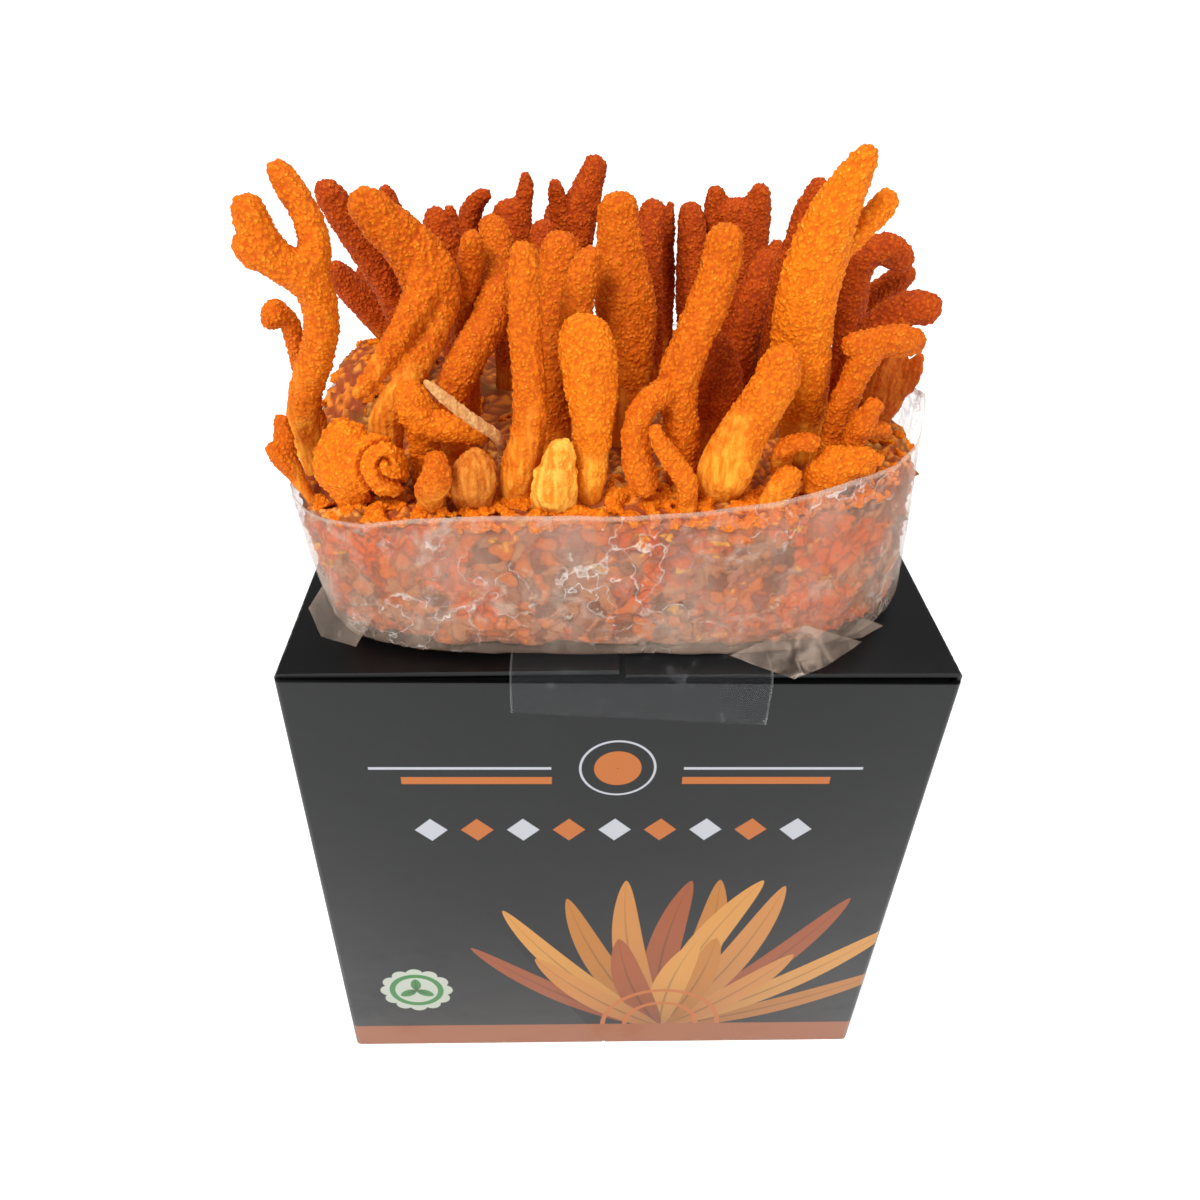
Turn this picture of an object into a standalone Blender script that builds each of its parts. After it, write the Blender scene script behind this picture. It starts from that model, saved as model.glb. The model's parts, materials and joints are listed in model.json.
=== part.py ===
"""A cordyceps grow kit: a folded carton, the opened grow bag on its lid, and the clubs growing from the block.

Sizes and places are in millimetres until a mesh is made. A place (x, d, z) counts x from the carton's middle, d
backwards from its front face, and z upwards from the fold along the top of the front face. The scene is in
metres, with its origin in the middle of the carton's underside, +Z up and the front face towards -Y.
"""

import math
from dataclasses import dataclass

import bmesh
import bpy
import numpy as np
from mathutils import Vector
from mathutils.bvhtree import BVHTree

MM = 0.001
GAP = 0.35

# Carton of thin corrugated board
CARTON_WIDTH = 127.0
CARTON_DEPTH = 127.0
CARTON_HEIGHT = 122.0
BOARD = 1.0
CORNER_RADIUS = 1.3
CORNER_STEPS = 3
SEAM_GAP = 1.2
FLAP_SETBACK = 1.0
FLAP_ROOT_INSET = 0.06
LEFT_FLAP_TOP = (1.2, 2.4)
RIGHT_FLAP_TOP = (2.0, 1.3)
INNER_FLAP_TOP = (-0.2, -1.0)
INNER_FLAP_GAP = 2.0
BOTTOM_GROOVE = (0.8, 0.4)

# Tape over the top seam
TAPE_LEFT = -20.6
TAPE_RIGHT = 27.8
TAPE_THICKNESS = 0.4
TAPE_FRONT_DROP = (6.6, 9.6)
TAPE_BACK_DROP = 24.0

# Block and bag
BLOCK_MIDDLE_D = 52.0
BLOCK_MIDDLE_X = ((3.0, 0.6), (20.0, -1.2), (45.0, -3.2))
BLOCK_HALF = (58.6, 48.0)
LEFT_SQUARENESS = 5.0
RIGHT_SQUARENESS = 3.5
BLOCK_SIDES = 34
GIRTH = ((3.0, 0.972), (6.5, 0.988), (12.0, 0.996), (20.0, 1.0), (30.0, 1.0), (45.0, 1.0))
FILM = 0.6
FILM_GAP = 0.4
BAG_FLOOR = 3.5
BAG_LEVELS = (6.5, 12.0, 20.0, 27.0)
BLOCK_EDGE = 30.0
MOUND = (-56.0, 66.0, 6.5, 22.0, 26.0)
RIM_LEAN = 0.7
RIM = (
    (0.0, 40.0), (12.0, 36.0), (30.0, 33.6), (60.0, 32.6), (90.0, 31.6), (115.0, 29.8), (135.0, 28.8),
    (160.0, 29.2), (180.0, 30.2), (205.0, 30.2), (225.0, 30.0), (244.0, 30.6), (256.0, 32.6), (270.0, 33.8),
    (285.0, 36.6), (300.0, 39.0), (316.0, 39.6), (334.0, 42.4), (346.0, 44.6), (360.0, 40.0),
)

# Fruiting bodies
STATION_STEP = 2.4
LONG_STRETCH = 5
FACET_SWELL = 1.05
FACET_SINK = 1.2
TIP_LENGTH = 0.15
ROUND_FROM = 0.85
CLUB_GAP = 0.5
RING_SIDES = 8
THIN_SIDES = 6
THIN_WIDTH = 4.7
SPREAD_ROUNDS = 140
SPREAD_REACH = 6.0
SPREAD_GAIN = 1.3
SPREAD_FREEDOM = (0.7, 1.0, 0.2)
SPREAD_LOOK = 24.0
SPREAD_DONE = 0.1

# Colours, linear
BLACK_BOARD = (0.012, 0.012, 0.013)
CLEAR_TAPE = (0.10, 0.10, 0.11)
MILKY_FILM = (0.62, 0.52, 0.45)
GRAIN = (0.45, 0.22, 0.09)
BRIGHT = (0.78, 0.24, 0.02)
DEEP = (0.55, 0.13, 0.01)
PALE = (0.80, 0.34, 0.06)
STRAW = (0.55, 0.30, 0.12)


@dataclass(frozen=True)
class Limb:
    """One tapering limb: points (x, d, z, width) along its middle, and how deep it is for its width."""

    points: tuple
    flat: float = 0.86


@dataclass(frozen=True)
class Club:
    """One fruiting body: the foot (x, d, width) on the block, its trunk, and limbs fused to the trunk."""

    name: str
    foot: tuple
    limbs: tuple
    colour: tuple = BRIGHT


FRONT_CLUBS = (
    Club("folded_lump", (-46.8, 13.2, 7.0), (
        Limb(((-48, 11.4, 36.4, 10.6), (-47.8, 11.6, 40.4, 10), (-46.6, 12.4, 44, 7), (-46, 12.8, 45.6, 4)), 0.85),
        Limb(((-47, 11, 38.6, 6), (-43.2, 9.8, 38.8, 10), (-39.4, 9.2, 39.1, 12.2), (-36.4, 9.2, 39.1, 9.6),
              (-35, 9.2, 39.1, 5.4)), 0.7),
    )),
    Club("small_lobe", (-32.4, 11.0, 4.6), (
        Limb(((-32.6, 8.4, 37, 5.2), (-30.6, 6.6, 38.4, 5.4), (-29.4, 6.6, 41.2, 5), (-29.9, 7.3, 43.7, 3.2)), 0.9),
    )),
    Club("fibrous_barrel", (-26.5, 11.0, 6.6), (
        Limb(((-26.2, 8.6, 35.8, 8.4), (-24.9, 8.4, 39.1, 8), (-23.4, 9.3, 42.3, 5)), 0.8),
    ), PALE),
    Club("curled_tube", (-35.4, 17.4, 5.2), (
        Limb(((-34.8, 14.8, 41.5, 5.6), (-34.8, 12.8, 46, 6.4), (-36, 12.2, 50, 6), (-36.8, 12, 52.2, 4)), 0.9),
        Limb(((-34.6, 12.8, 45.4, 5.4), (-31, 12, 44.6, 5.6), (-27.4, 12, 44, 5), (-24.6, 12.4, 43.4, 4.2),
              (-23.4, 12.6, 43, 2.8)), 0.9),
    )),
    Club("dry_straw", (-21.6, 17.0, 2.0), (
        Limb(((-21.6, 14.4, 41, 2), (-22.2, 9.4, 45.4, 2.1), (-24.8, 6.8, 48.4, 2.2), (-28.4, 6, 52, 2.1),
              (-32.2, 5.8, 55.8, 1.4)), 0.8),
    ), STRAW),
    Club("tall_front_club", (-20.4, 11.4, 6.0), (
        Limb(((-19.8, 9, 37, 7), (-17.9, 9, 41.5, 6.2), (-16, 10, 47.5, 6), (-16.5, 11, 53, 5.6),
              (-17, 12, 62, 5.4), (-17, 13, 70, 5), (-17, 13.7, 73.2, 4.6), (-17, 14, 74.3, 3)), 0.92),
    )),
    Club("pale_bulge", (-13.4, 10.4, 6.6), (
        Limb(((-13.9, 7.8, 35.6, 8), (-13, 7.2, 39.4, 7.4), (-11.6, 7, 43.1, 6), (-10.8, 7.2, 45.6, 3.6)), 0.66),
    ), PALE),
    Club("front_column", (-7.6, 10.2, 5.0), (
        Limb(((-7.4, 8.2, 38, 5.4), (-6.8, 8.8, 44, 6), (-6.4, 9.4, 50, 7.8), (-6.8, 10, 55.4, 9.2),
              (-7.4, 10.8, 59.6, 9.6), (-8, 11, 63, 8), (-8, 11, 64.3, 5.4)), 0.72),
    )),
    Club("collared_club", (10.8, 15.0, 5.6), (
        Limb(((10.1, 13.4, 39.5, 6), (9, 13.6, 46, 5.8), (7.4, 14.6, 51, 7), (8.6, 15.6, 56.5, 6.8),
              (11, 17.4, 61.5, 6.8), (13, 19, 67, 6.8), (14, 20, 71.5, 6.8), (14, 20, 74.7, 6), (14, 20, 75.9, 3.8))),
        Limb(((6.6, 14, 50.8, 5.2), (3.8, 10.8, 52, 5), (1.2, 8.4, 49.8, 5), (0.2, 7.6, 45.4, 4.8),
              (1.4, 7.2, 40.5, 5.4), (3, 6.8, 36.6, 5.8)), 0.85),
    )),
    Club("curled_finger", (11.4, 8.6, 3.8), (
        Limb(((10.8, 6.6, 38, 4), (9.6, 5.6, 40.4, 4), (7.4, 5.2, 42.6, 3.9), (5.2, 5, 45.2, 3.6),
              (3.8, 5, 47.8, 3), (3.2, 5.2, 49.4, 2)), 0.9),
    )),
    Club("leaning_club", (15.4, 12.0, 7.2), (
        Limb(((15.2, 9.4, 37.6, 10.2), (16.4, 9.6, 41.4, 9.8), (18.6, 10.2, 46, 8.6), (21.2, 11, 50.6, 8),
              (23.6, 11.6, 55, 8.2), (23.6, 12, 58.2, 6.8), (23.2, 12, 59.8, 4.4)), 0.68),
        Limb(((17.8, 8, 41.6, 3.6), (18.8, 5.8, 41, 3.4), (19.2, 5, 40.5, 2.2)), 0.9),
    )),
    Club("small_tube", (27.6, 14.0, 3.8), (
        Limb(((26.4, 12.2, 39.6, 4.2), (25.6, 10.4, 42.8, 4), (28, 9.6, 44.4, 3.8), (31, 9.4, 44.6, 3.8),
              (32.6, 9.4, 44.4, 2.8)), 0.9),
    )),
    Club("short_stub", (24.8, 8.6, 4.4), (
        Limb(((25.2, 6.4, 37.4, 5), (26.2, 6.4, 39.4, 4.8), (27, 6.6, 41, 4)), 0.85),
    )),
    Club("low_fan", (33.4, 11.6, 6.4), (
        Limb(((33.2, 10.2, 38.8, 8.2), (33.4, 10, 41.6, 6.6), (33.8, 10, 43.6, 4)), 0.66),
        Limb(((34, 10, 40.6, 3.6), (37, 10.4, 40.6, 3.6), (39.6, 11.9, 39.7, 3.3), (40.8, 12.8, 39, 2.4)), 0.9),
        Limb(((34.4, 10.6, 42, 3.4), (37.8, 11, 42.8, 3.4), (40.6, 11.4, 42, 3), (42, 12, 41, 2)), 0.9),
    )),
    Club("side_finger", (37.6, 15.6, 4.2), (
        Limb(((37.4, 14, 42.6, 4.4), (38.6, 13.8, 46.4, 4.4), (40.3, 13.8, 49.2, 4), (41, 13.8, 50.5, 2.6)), 0.9),
        Limb(((38.2, 14, 44.4, 3.2), (41.8, 14.9, 45.1, 3), (44.5, 15.5, 44, 2.2)), 0.9),
    )),
)

LEFT_CLUBS = (
    Club("antler_club", (-55.4, 23.5, 5.2), (
        Limb(((-57, 21.6, 41.5, 5.8), (-53.6, 19, 50.5, 5.6), (-50, 18, 58, 5.8), (-49, 17, 64.4, 6),
              (-51, 16, 68.4, 6.4), (-55.2, 15, 71.2, 6), (-57.3, 14.2, 73.3, 6.6), (-59, 14, 74.6, 4.6)), 0.85),
        Limb(((-55.2, 15, 71.6, 5.4), (-56.6, 14, 76.4, 5.6), (-57, 14, 78.7, 5.6), (-57.3, 14, 80, 3.8)), 0.85),
        Limb(((-51, 16.4, 67.6, 5.2), (-48.6, 18, 72.5, 5.2), (-50, 19, 77, 4.7), (-52, 20, 80, 4.4),
              (-53.5, 20.7, 82.2, 4.1), (-54.1, 21, 83.3, 2.8)), 0.95),
    )),
    Club("drooping_side_club", (-55.0, 31.0, 2.8), (
        Limb(((-57.2, 29, 43, 3.2), (-57.6, 28.4, 52, 3.2), (-57.8, 28, 58.2, 4), (-59.6, 27, 59.6, 4.8),
              (-60.5, 26.6, 57.8, 4.2), (-61, 26.3, 56.4, 2.6)), 0.95),
    )),
    Club("rim_club", (-55.6, 13.4, 3.6), (
        Limb(((-57.4, 13.6, 36, 3.8), (-58, 14.2, 40, 3.6), (-58.2, 15, 43.6, 3.2), (-58, 15.4, 45.4, 2)), 0.9),
        Limb(((-57.6, 13.4, 37, 3), (-59.6, 13, 39.4, 2.8), (-60, 13, 41, 2)), 0.9),
    )),
    Club("hooked_club", (-42.2, 19.0, 6.0), (
        Limb(((-41.6, 17.8, 43, 6.4), (-39.4, 18, 47.5, 5.4), (-36.2, 20.4, 51.5, 4.8), (-33.8, 25, 54.5, 5.2),
              (-32, 29, 59, 7), (-32.6, 31, 63, 10.4), (-35.5, 31, 67.8, 9.8), (-39.5, 29, 72.2, 8.2),
              (-42.3, 27.4, 76, 7.2), (-44, 26.4, 77.6, 4.8)), 0.72),
        Limb(((-33, 30, 64.4, 7), (-35.2, 27, 61, 6), (-38.6, 22, 56, 4.8), (-42.3, 18.7, 51.6, 3.8),
              (-45.8, 16.6, 48.3, 2.4)), 0.85),
    )),
    Club("horn_club", (-41.5, 58.0, 5.4), (
        Limb(((-43, 56, 44.5, 5.8), (-46, 56, 55.5, 6.2), (-49.5, 54, 63.5, 6.8), (-52.4, 52, 69.4, 6.4),
              (-53.9, 50.4, 72.8, 5.6), (-54.4, 50, 74.3, 3.8)), 0.9),
    ), DEEP),
    Club("horn_knob", (-41.0, 68.0, 4.0), (
        Limb(((-41.4, 66, 50, 4.2), (-43.5, 63, 64, 4.4), (-45, 62.2, 69.1, 3.8), (-45.7, 62, 71.4, 2.8)), 0.95),
    ), DEEP),
    Club("back_leaning_club", (-50.4, 80.5, 6.2), (
        Limb(((-52.6, 80, 39, 7.4), (-55.6, 79, 43.4, 7.4), (-59, 77.6, 48, 6.8), (-60.6, 76.3, 51.2, 5.4),
              (-61.1, 76, 52.3, 3.6)), 0.9),
    ), DEEP),
    Club("back_small_club", (-49.0, 90.5, 5.2), (
        Limb(((-50.6, 90.6, 35, 5.6), (-54, 90, 39, 5.2), (-56, 89, 43, 4.4), (-57.2, 88.2, 46.6, 3.8),
              (-57.6, 88, 48, 2.2)), 0.95),
    ), DEEP),
    Club("back_short_club", (-42.0, 77.0, 5.6), (
        Limb(((-43.6, 73, 41, 6.2), (-46.2, 68, 50, 6.2), (-47.9, 66.3, 54.5, 5.2), (-48.8, 66, 56.9, 3.4)), 0.95),
        Limb(((-43.4, 73, 42, 5.2), (-41, 69, 51, 5.4), (-40.1, 66.4, 56.5, 5.2), (-40, 66, 58.8, 3.4)), 0.95),
    ), DEEP),
)

MIDDLE_CLUBS = (
    Club("blunt_double_club", (-31.0, 50.0, 6.0), (
        Limb(((-32, 50, 48, 6.7), (-32.5, 50, 59.5, 8), (-34, 50, 66, 7.2), (-34.7, 50, 69, 4.9),
              (-35.1, 50, 70.3, 2.8))),
        Limb(((-32.8, 51, 60, 4.4), (-32.4, 54, 66, 3.6), (-32.5, 54, 68.9, 2.8), (-32.6, 54, 70.1, 1.8)), 0.95),
    ), DEEP),
    Club("bent_tip_club", (-31.0, 64.0, 5.0), (
        Limb(((-30.8, 64, 50, 5.4), (-30.8, 64, 60, 5.4), (-29.8, 64, 66.6, 4.8), (-28, 63, 69, 3.8),
              (-25.6, 61.3, 70.7, 2.6)), 0.95),
    ), DEEP),
    Club("slim_column", (-29.4, 38.0, 4.6), (
        Limb(((-29, 36.6, 50, 5), (-28.8, 35.6, 58, 4.8), (-27.8, 34.6, 64, 4.7), (-27, 34, 69, 4.3),
              (-27, 34, 70.4, 2.8)), 0.95),
    )),
    Club("stub_column", (-30.6, 26.0, 5.2), (
        Limb(((-31.4, 22.6, 47.4, 6.4), (-28, 26, 52.6, 6.8), (-24.6, 33, 56, 6.8), (-22.8, 40, 61.5, 6.8),
              (-23.2, 42.4, 67, 6.6), (-24.1, 43.6, 69.7, 5), (-24.5, 44, 70.8, 3)), 0.85),
    )),
    Club("broad_headed_club", (-12.4, 25.0, 5.8), (
        Limb(((-12.8, 26, 45, 6.4), (-13, 28.6, 53.5, 6.8), (-12.8, 32, 60, 7.6), (-12, 36, 65.5, 8.6),
              (-11.2, 37.5, 68.3, 7), (-10.9, 38, 69.5, 4.6)), 0.8),
    )),
    Club("narrow_club", (-16.4, 46.0, 5.2), (
        Limb(((-16, 48, 50, 5.6), (-15.5, 50, 60, 6), (-15.1, 51.7, 65.4, 5.6), (-15, 52, 67.9, 3.8)), 0.95),
    ), DEEP),
    Club("spiked_club", (-22.4, 58.0, 6.2), (
        Limb(((-22, 57, 44, 6.8), (-21.6, 58, 57, 8), (-21.5, 60, 65, 8.6), (-21.9, 60, 67.9, 7.2),
              (-22.1, 60, 69.5, 4.8)), 0.76),
        Limb(((-20.6, 60, 65.5, 4.4), (-18.6, 60, 71, 3.6), (-18.5, 60, 73.5, 3), (-18.5, 60, 74.9, 2)), 0.95),
    ), DEEP),
    Club("two_tipped_club", (-9.6, 62.0, 6.4), (
        Limb(((-9.6, 61, 43, 8), (-10, 62, 57, 8.4), (-9, 63, 65.5, 8.6), (-6.8, 64, 71, 6.2),
              (-5.4, 65.6, 74.7, 5.2), (-4.8, 66, 76.5, 3.6)), 0.76),
        Limb(((-11.2, 62, 63.4, 5.2), (-12.5, 61, 69.4, 3.8), (-12.9, 60.3, 72.4, 3), (-13, 60, 73.6, 2)), 0.95),
    ), DEEP),
    Club("flared_club", (0.6, 30.0, 6.2), (
        Limb(((0.4, 30, 40, 7), (0.6, 30, 50, 9.2), (-0.2, 32, 59, 12), (-1.3, 34, 65.6, 9.4),
              (-2, 36, 71.6, 7.4), (-2, 36.7, 74.7, 7.2), (-2, 37, 76.5, 5)), 0.6),
    )),
    Club("little_beside_club", (-4.8, 19.6, 4.6), (
        Limb(((-6.8, 20, 45, 5), (-9, 21.6, 54, 5.4), (-9.4, 23, 62, 6.2), (-7.8, 25, 67.4, 5.8),
              (-6.7, 26.4, 69.2, 4.2), (-6.1, 27, 70.3, 2.6)), 0.85),
    )),
    Club("back_column", (6.4, 54.0, 5.6), (
        Limb(((6, 54, 45, 6.2), (5.4, 54, 53.4, 6.2), (4.6, 56, 61, 6.2), (5.4, 58, 66.5, 6),
              (6, 59.5, 68.9, 5.2), (6.3, 60, 70.1, 3.6)), 0.9),
    ), DEEP),
    Club("thin_club", (11.2, 72.0, 3.4), (
        Limb(((10.8, 70, 46, 3.6), (10.2, 68, 58, 3.4), (10.2, 68, 64.9, 2.8), (10.3, 68, 68.1, 1.8)), 1.0),
    ), DEEP),
    Club("back_right_column", (16.6, 62.0, 5.6), (
        Limb(((16, 62, 42, 6.2), (14.8, 64, 53, 6.6), (14.4, 66, 61.5, 6.2), (14.1, 67.6, 65.8, 5.6),
              (13.9, 68, 67.9, 3.8)), 0.9),
    ), DEEP),
    Club("fused_crown", (26.0, 66.0, 8.6), (
        Limb(((26, 66.6, 41, 10), (25, 68, 52, 12.6), (24.2, 70, 61.5, 13.4), (24, 70, 65.9, 12),
              (24, 70, 67.9, 8.8)), 0.55),
        Limb(((20.4, 70, 62, 5.6), (19.2, 70, 67, 5), (19.1, 70, 70.5, 3.4)), 1.0),
        Limb(((27.8, 70, 62, 6), (28.3, 70, 67.3, 5.4), (28.1, 70, 71.3, 3.8)), 1.0),
    ), DEEP),
    Club("crown_neighbour", (30.6, 52.0, 5.4), (
        Limb(((30, 52, 44, 5.8), (29.5, 53.6, 54, 6.2), (29.9, 55.7, 60.4, 5.4), (30.4, 57.4, 63.8, 3.2)), 0.95),
    ), DEEP),
    Club("slanting_club", (22.0, 38.0, 5.8), (
        Limb(((22.4, 39, 43, 6.4), (23.4, 41.6, 55, 6.8), (25.5, 44.9, 61.7, 5.8), (26.7, 45.8, 65.1, 3.6)), 0.9),
    ), DEEP),
    Club("shaded_club", (16.4, 27.0, 6.0), (
        Limb(((16.2, 26.4, 38.4, 8.4), (16, 26.4, 43, 11.6), (14.8, 27, 49.4, 12.4), (13.7, 27.8, 54, 9.4),
              (12.8, 28, 57.1, 5)), 0.42),
    ), DEEP),
)

RIGHT_CLUBS = (
    Club("big_right_club", (33.0, 22.0, 7.4), (
        Limb(((32, 21.6, 43, 8.6), (29.8, 20.4, 52, 10.4), (28, 19, 61.5, 10.6), (27.8, 18, 70, 10.4),
              (28.9, 17, 77, 8.8), (30.7, 16, 82.6, 6.6), (32, 15.1, 86.5, 4.8), (32.6, 14.3, 88.4, 3)), 0.68),
        Limb(((30.6, 19.6, 71.6, 4.8), (34.4, 21, 74.8, 4.6), (37, 21, 77.6, 4.2), (38.4, 21, 79.4, 4.8),
              (39.1, 21, 80.9, 3.2)), 0.9),
    )),
    Club("slim_behind_club", (27.0, 33.0, 5.0), (
        Limb(((27.4, 35, 46, 5.4), (28, 36, 58, 5.2), (28.6, 36, 67, 5), (30, 36, 74.6, 4.4),
              (31.3, 36, 78.2, 3.8), (31.9, 36, 79.8, 2.6)), 0.95),
    ), DEEP),
    Club("drooping_flat_club", (46.6, 48.0, 6.0), (
        Limb(((45.6, 49, 46, 6.8), (43.8, 50, 56, 7.4), (44.4, 50, 63, 7.6), (48.4, 50, 65.4, 7),
              (52, 50.8, 63.8, 6.4), (54.4, 51.4, 61.3, 4.6)), 0.72),
    ), DEEP),
    Club("right_back_club", (48.6, 66.0, 5.6), (
        Limb(((50, 65, 42, 6), (51.8, 63, 50.6, 6.2), (55, 61, 54.4, 5.8), (57.6, 60.2, 56.8, 5.2),
              (58.9, 60, 58.2, 3.6)), 0.9),
    ), DEEP),
    Club("right_back_twig", (44.6, 76.0, 4.8), (
        Limb(((46, 74, 44, 5), (46.9, 71.3, 52.2, 4.6), (48.1, 69.4, 57.6, 3.2)), 1.0),
    ), DEEP),
    Club("pointing_club", (41.4, 35.0, 5.4), (
        Limb(((41, 34, 44, 5.8), (42.2, 32.4, 51.8, 6.2), (44.8, 32, 57.2, 6.4), (49, 32, 59.8, 6.8),
              (52.1, 31.2, 59.9, 6.6), (54.5, 31, 59.8, 4.8)), 0.85),
    ), DEEP),
    Club("bracket_club", (36.4, 18.4, 5.0), (
        Limb(((36.2, 17, 43.6, 5.2), (37, 17.6, 49.5, 4.9), (38.4, 18.6, 55, 5.2), (40.8, 19, 58.4, 5.4),
              (44.2, 19.8, 58.4, 5.8), (47.2, 20.8, 57.8, 5.4), (49.2, 21.4, 57.6, 3.6)), 0.85),
        Limb(((39.4, 18.8, 57.9, 4.6), (36.6, 18.4, 58.3, 4.4), (34.4, 18, 58.1, 3.2)), 0.9),
    )),
    Club("broad_pale_stem", (49.0, 38.0, 7.4), (
        Limb(((49.6, 36.6, 40, 9), (48.8, 36.6, 47, 9), (48.2, 37, 52.9, 7.6), (48, 37.3, 56, 4.8)), 0.55),
        Limb(((51.4, 36, 41, 4), (54.1, 35.1, 45.2, 3.8), (54.4, 34.6, 50, 2.4)), 0.9),
    ), DEEP),
)

BACK_CLUBS = (
    Club("rear_left_club", (-30.0, 82.0, 5.8), (
        Limb(((-30, 83, 44, 6.4), (-31, 84, 54, 6), (-31.6, 84.6, 61, 4)), 0.95),
    ), DEEP),
    Club("rear_middle_club", (-15.0, 81.0, 6.0), (
        Limb(((-14.6, 82, 44, 6.6), (-14, 83, 55, 6.4), (-13.4, 83.4, 63.4, 4.4)), 0.95),
    ), DEEP),
    Club("rear_forked_club", (2.6, 81.0, 6.2), (
        Limb(((2.2, 81.6, 43, 6.8), (0.4, 82, 53, 5.8), (-0.6, 82, 61.6, 3.8)), 0.95),
        Limb(((2.6, 82, 45, 5), (6, 83, 53.6, 4.8), (7.6, 83, 60.6, 3.2)), 0.95),
    ), DEEP),
    Club("rear_right_club", (21.0, 84.0, 6.0), (
        Limb(((21.4, 84.6, 43, 6.4), (20.8, 85, 53, 6), (20, 85, 61.4, 4)), 0.95),
    ), DEEP),
    Club("rear_edge_club", (37.0, 80.0, 5.8), (
        Limb(((37.4, 80.4, 43, 6.2), (38.8, 80.6, 51, 5.6), (39.8, 80.6, 58, 3.6)), 0.95),
    ), DEEP),
)

CLUBS = FRONT_CLUBS + LEFT_CLUBS + MIDDLE_CLUBS + RIGHT_CLUBS + BACK_CLUBS


def clear_scene():
    for obj in list(bpy.data.objects):
        bpy.data.objects.remove(obj, do_unlink=True)


def finish(name, colour, roughness):
    """A plain Principled material of one colour."""
    material = bpy.data.materials.new(name)
    material.use_nodes = True
    shader = material.node_tree.nodes["Principled BSDF"]
    shader.inputs["Base Color"].default_value = (*colour, 1.0)
    shader.inputs["Roughness"].default_value = roughness
    shader.inputs["Metallic"].default_value = 0.0
    return material


def add_object(name, bm, parent, colour, roughness, smooth_angle=50.0):
    """Makes an object of a bmesh given in millimetres, under the parent empty."""
    bmesh.ops.recalc_face_normals(bm, faces=bm.faces)
    bmesh.ops.scale(bm, vec=(MM, MM, MM), verts=bm.verts)
    mesh = bpy.data.meshes.new(name)
    bm.to_mesh(mesh)
    bm.free()
    mesh.materials.append(finish(name + "_finish", colour, roughness))
    mesh.shade_smooth()
    mesh.set_sharp_from_angle(angle=math.radians(smooth_angle))
    obj = bpy.data.objects.new(name, mesh)
    bpy.context.scene.collection.objects.link(obj)
    obj.parent = parent
    return obj


def make_helper(obj):
    obj.hide_render = True
    obj.display_type = "WIRE"


def join_shape(target, other, operation):
    """Adds or cuts the other object's shape, which becomes a helper."""
    modifier = target.modifiers.new(other.name, "BOOLEAN")
    modifier.operation = operation
    modifier.object = other
    modifier.solver = "EXACT"
    make_helper(other)


def loft(bm, rings, capped=True):
    """Skins rings of equal length in order. A capped loft closes its first and last ring."""
    rows = [[bm.verts.new(point) for point in ring] for ring in rings]
    count = len(rows[0])
    for lower, upper in zip(rows, rows[1:]):
        for i in range(count):
            j = (i + 1) % count
            bm.faces.new((lower[i], lower[j], upper[j], upper[i]))
    if capped:
        bm.faces.new(reversed(rows[0]))
        bm.faces.new(rows[-1])
    return rows


def extrude_outline(outline, start, end):
    """A bmesh prism: a closed outline of (a, b) pairs, and start and end, which place a pair in space."""
    bm = bmesh.new()
    loft(bm, ([start(*pair) for pair in outline], [end(*pair) for pair in outline]))
    return bm


# Carton


def rounded_rectangle(half_width, half_depth, radius):
    """Corner points of a rectangle about the carton's middle, with rounded corners."""
    points = []
    for corner, (sign_x, sign_y) in enumerate(((1, 1), (-1, 1), (-1, -1), (1, -1))):
        for step in range(CORNER_STEPS + 1):
            angle = math.radians(90 * (corner + step / CORNER_STEPS))
            x = sign_x * (half_width - radius) + radius * math.cos(angle)
            y = sign_y * (half_depth - radius) + radius * math.sin(angle)
            points.append((x, y + CARTON_DEPTH / 2))
    return points


def wall_tube(parent):
    """The four walls, from the underside to the fold."""
    outer = rounded_rectangle(CARTON_WIDTH / 2, CARTON_DEPTH / 2, CORNER_RADIUS)
    inner = rounded_rectangle(CARTON_WIDTH / 2 - BOARD, CARTON_DEPTH / 2 - BOARD, CORNER_RADIUS / 2)
    bm = bmesh.new()
    rings = []
    for outline, z in ((outer, -CARTON_HEIGHT), (outer, 0.0), (inner, 0.0), (inner, -CARTON_HEIGHT)):
        rings.append([(x, y, z) for x, y in outline])
    rows = loft(bm, rings, capped=False)
    count = len(outer)
    for i in range(count):
        j = (i + 1) % count
        bm.faces.new((rows[3][i], rows[3][j], rows[0][j], rows[0][i]))
    return add_object("carton", bm, parent, BLACK_BOARD, 0.4, smooth_angle=40.0)


def outer_flap(parent, name, side, tops):
    """A side wall's riser and the flap folded from it, as one bent strip of board."""
    edge = side * (CARTON_WIDTH / 2 - FLAP_ROOT_INSET)
    inside = side * (CARTON_WIDTH / 2 - BOARD + FLAP_ROOT_INSET)
    seam = side * SEAM_GAP / 2
    root, free = tops
    outline = [
        (edge, -2.0), (edge, root - 0.7), (edge - side * 0.3, root - 0.2), (edge - side * 1.0, root),
        (seam, free), (seam, free - BOARD), (inside, root - BOARD - 0.1), (inside, -2.0),
    ]
    front = FLAP_SETBACK
    back = CARTON_DEPTH - FLAP_SETBACK
    bm = extrude_outline(outline, lambda x, z: (x, front, z), lambda x, z: (x, back, z))
    return add_object(name, bm, parent, BLACK_BOARD, 0.4)


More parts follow.
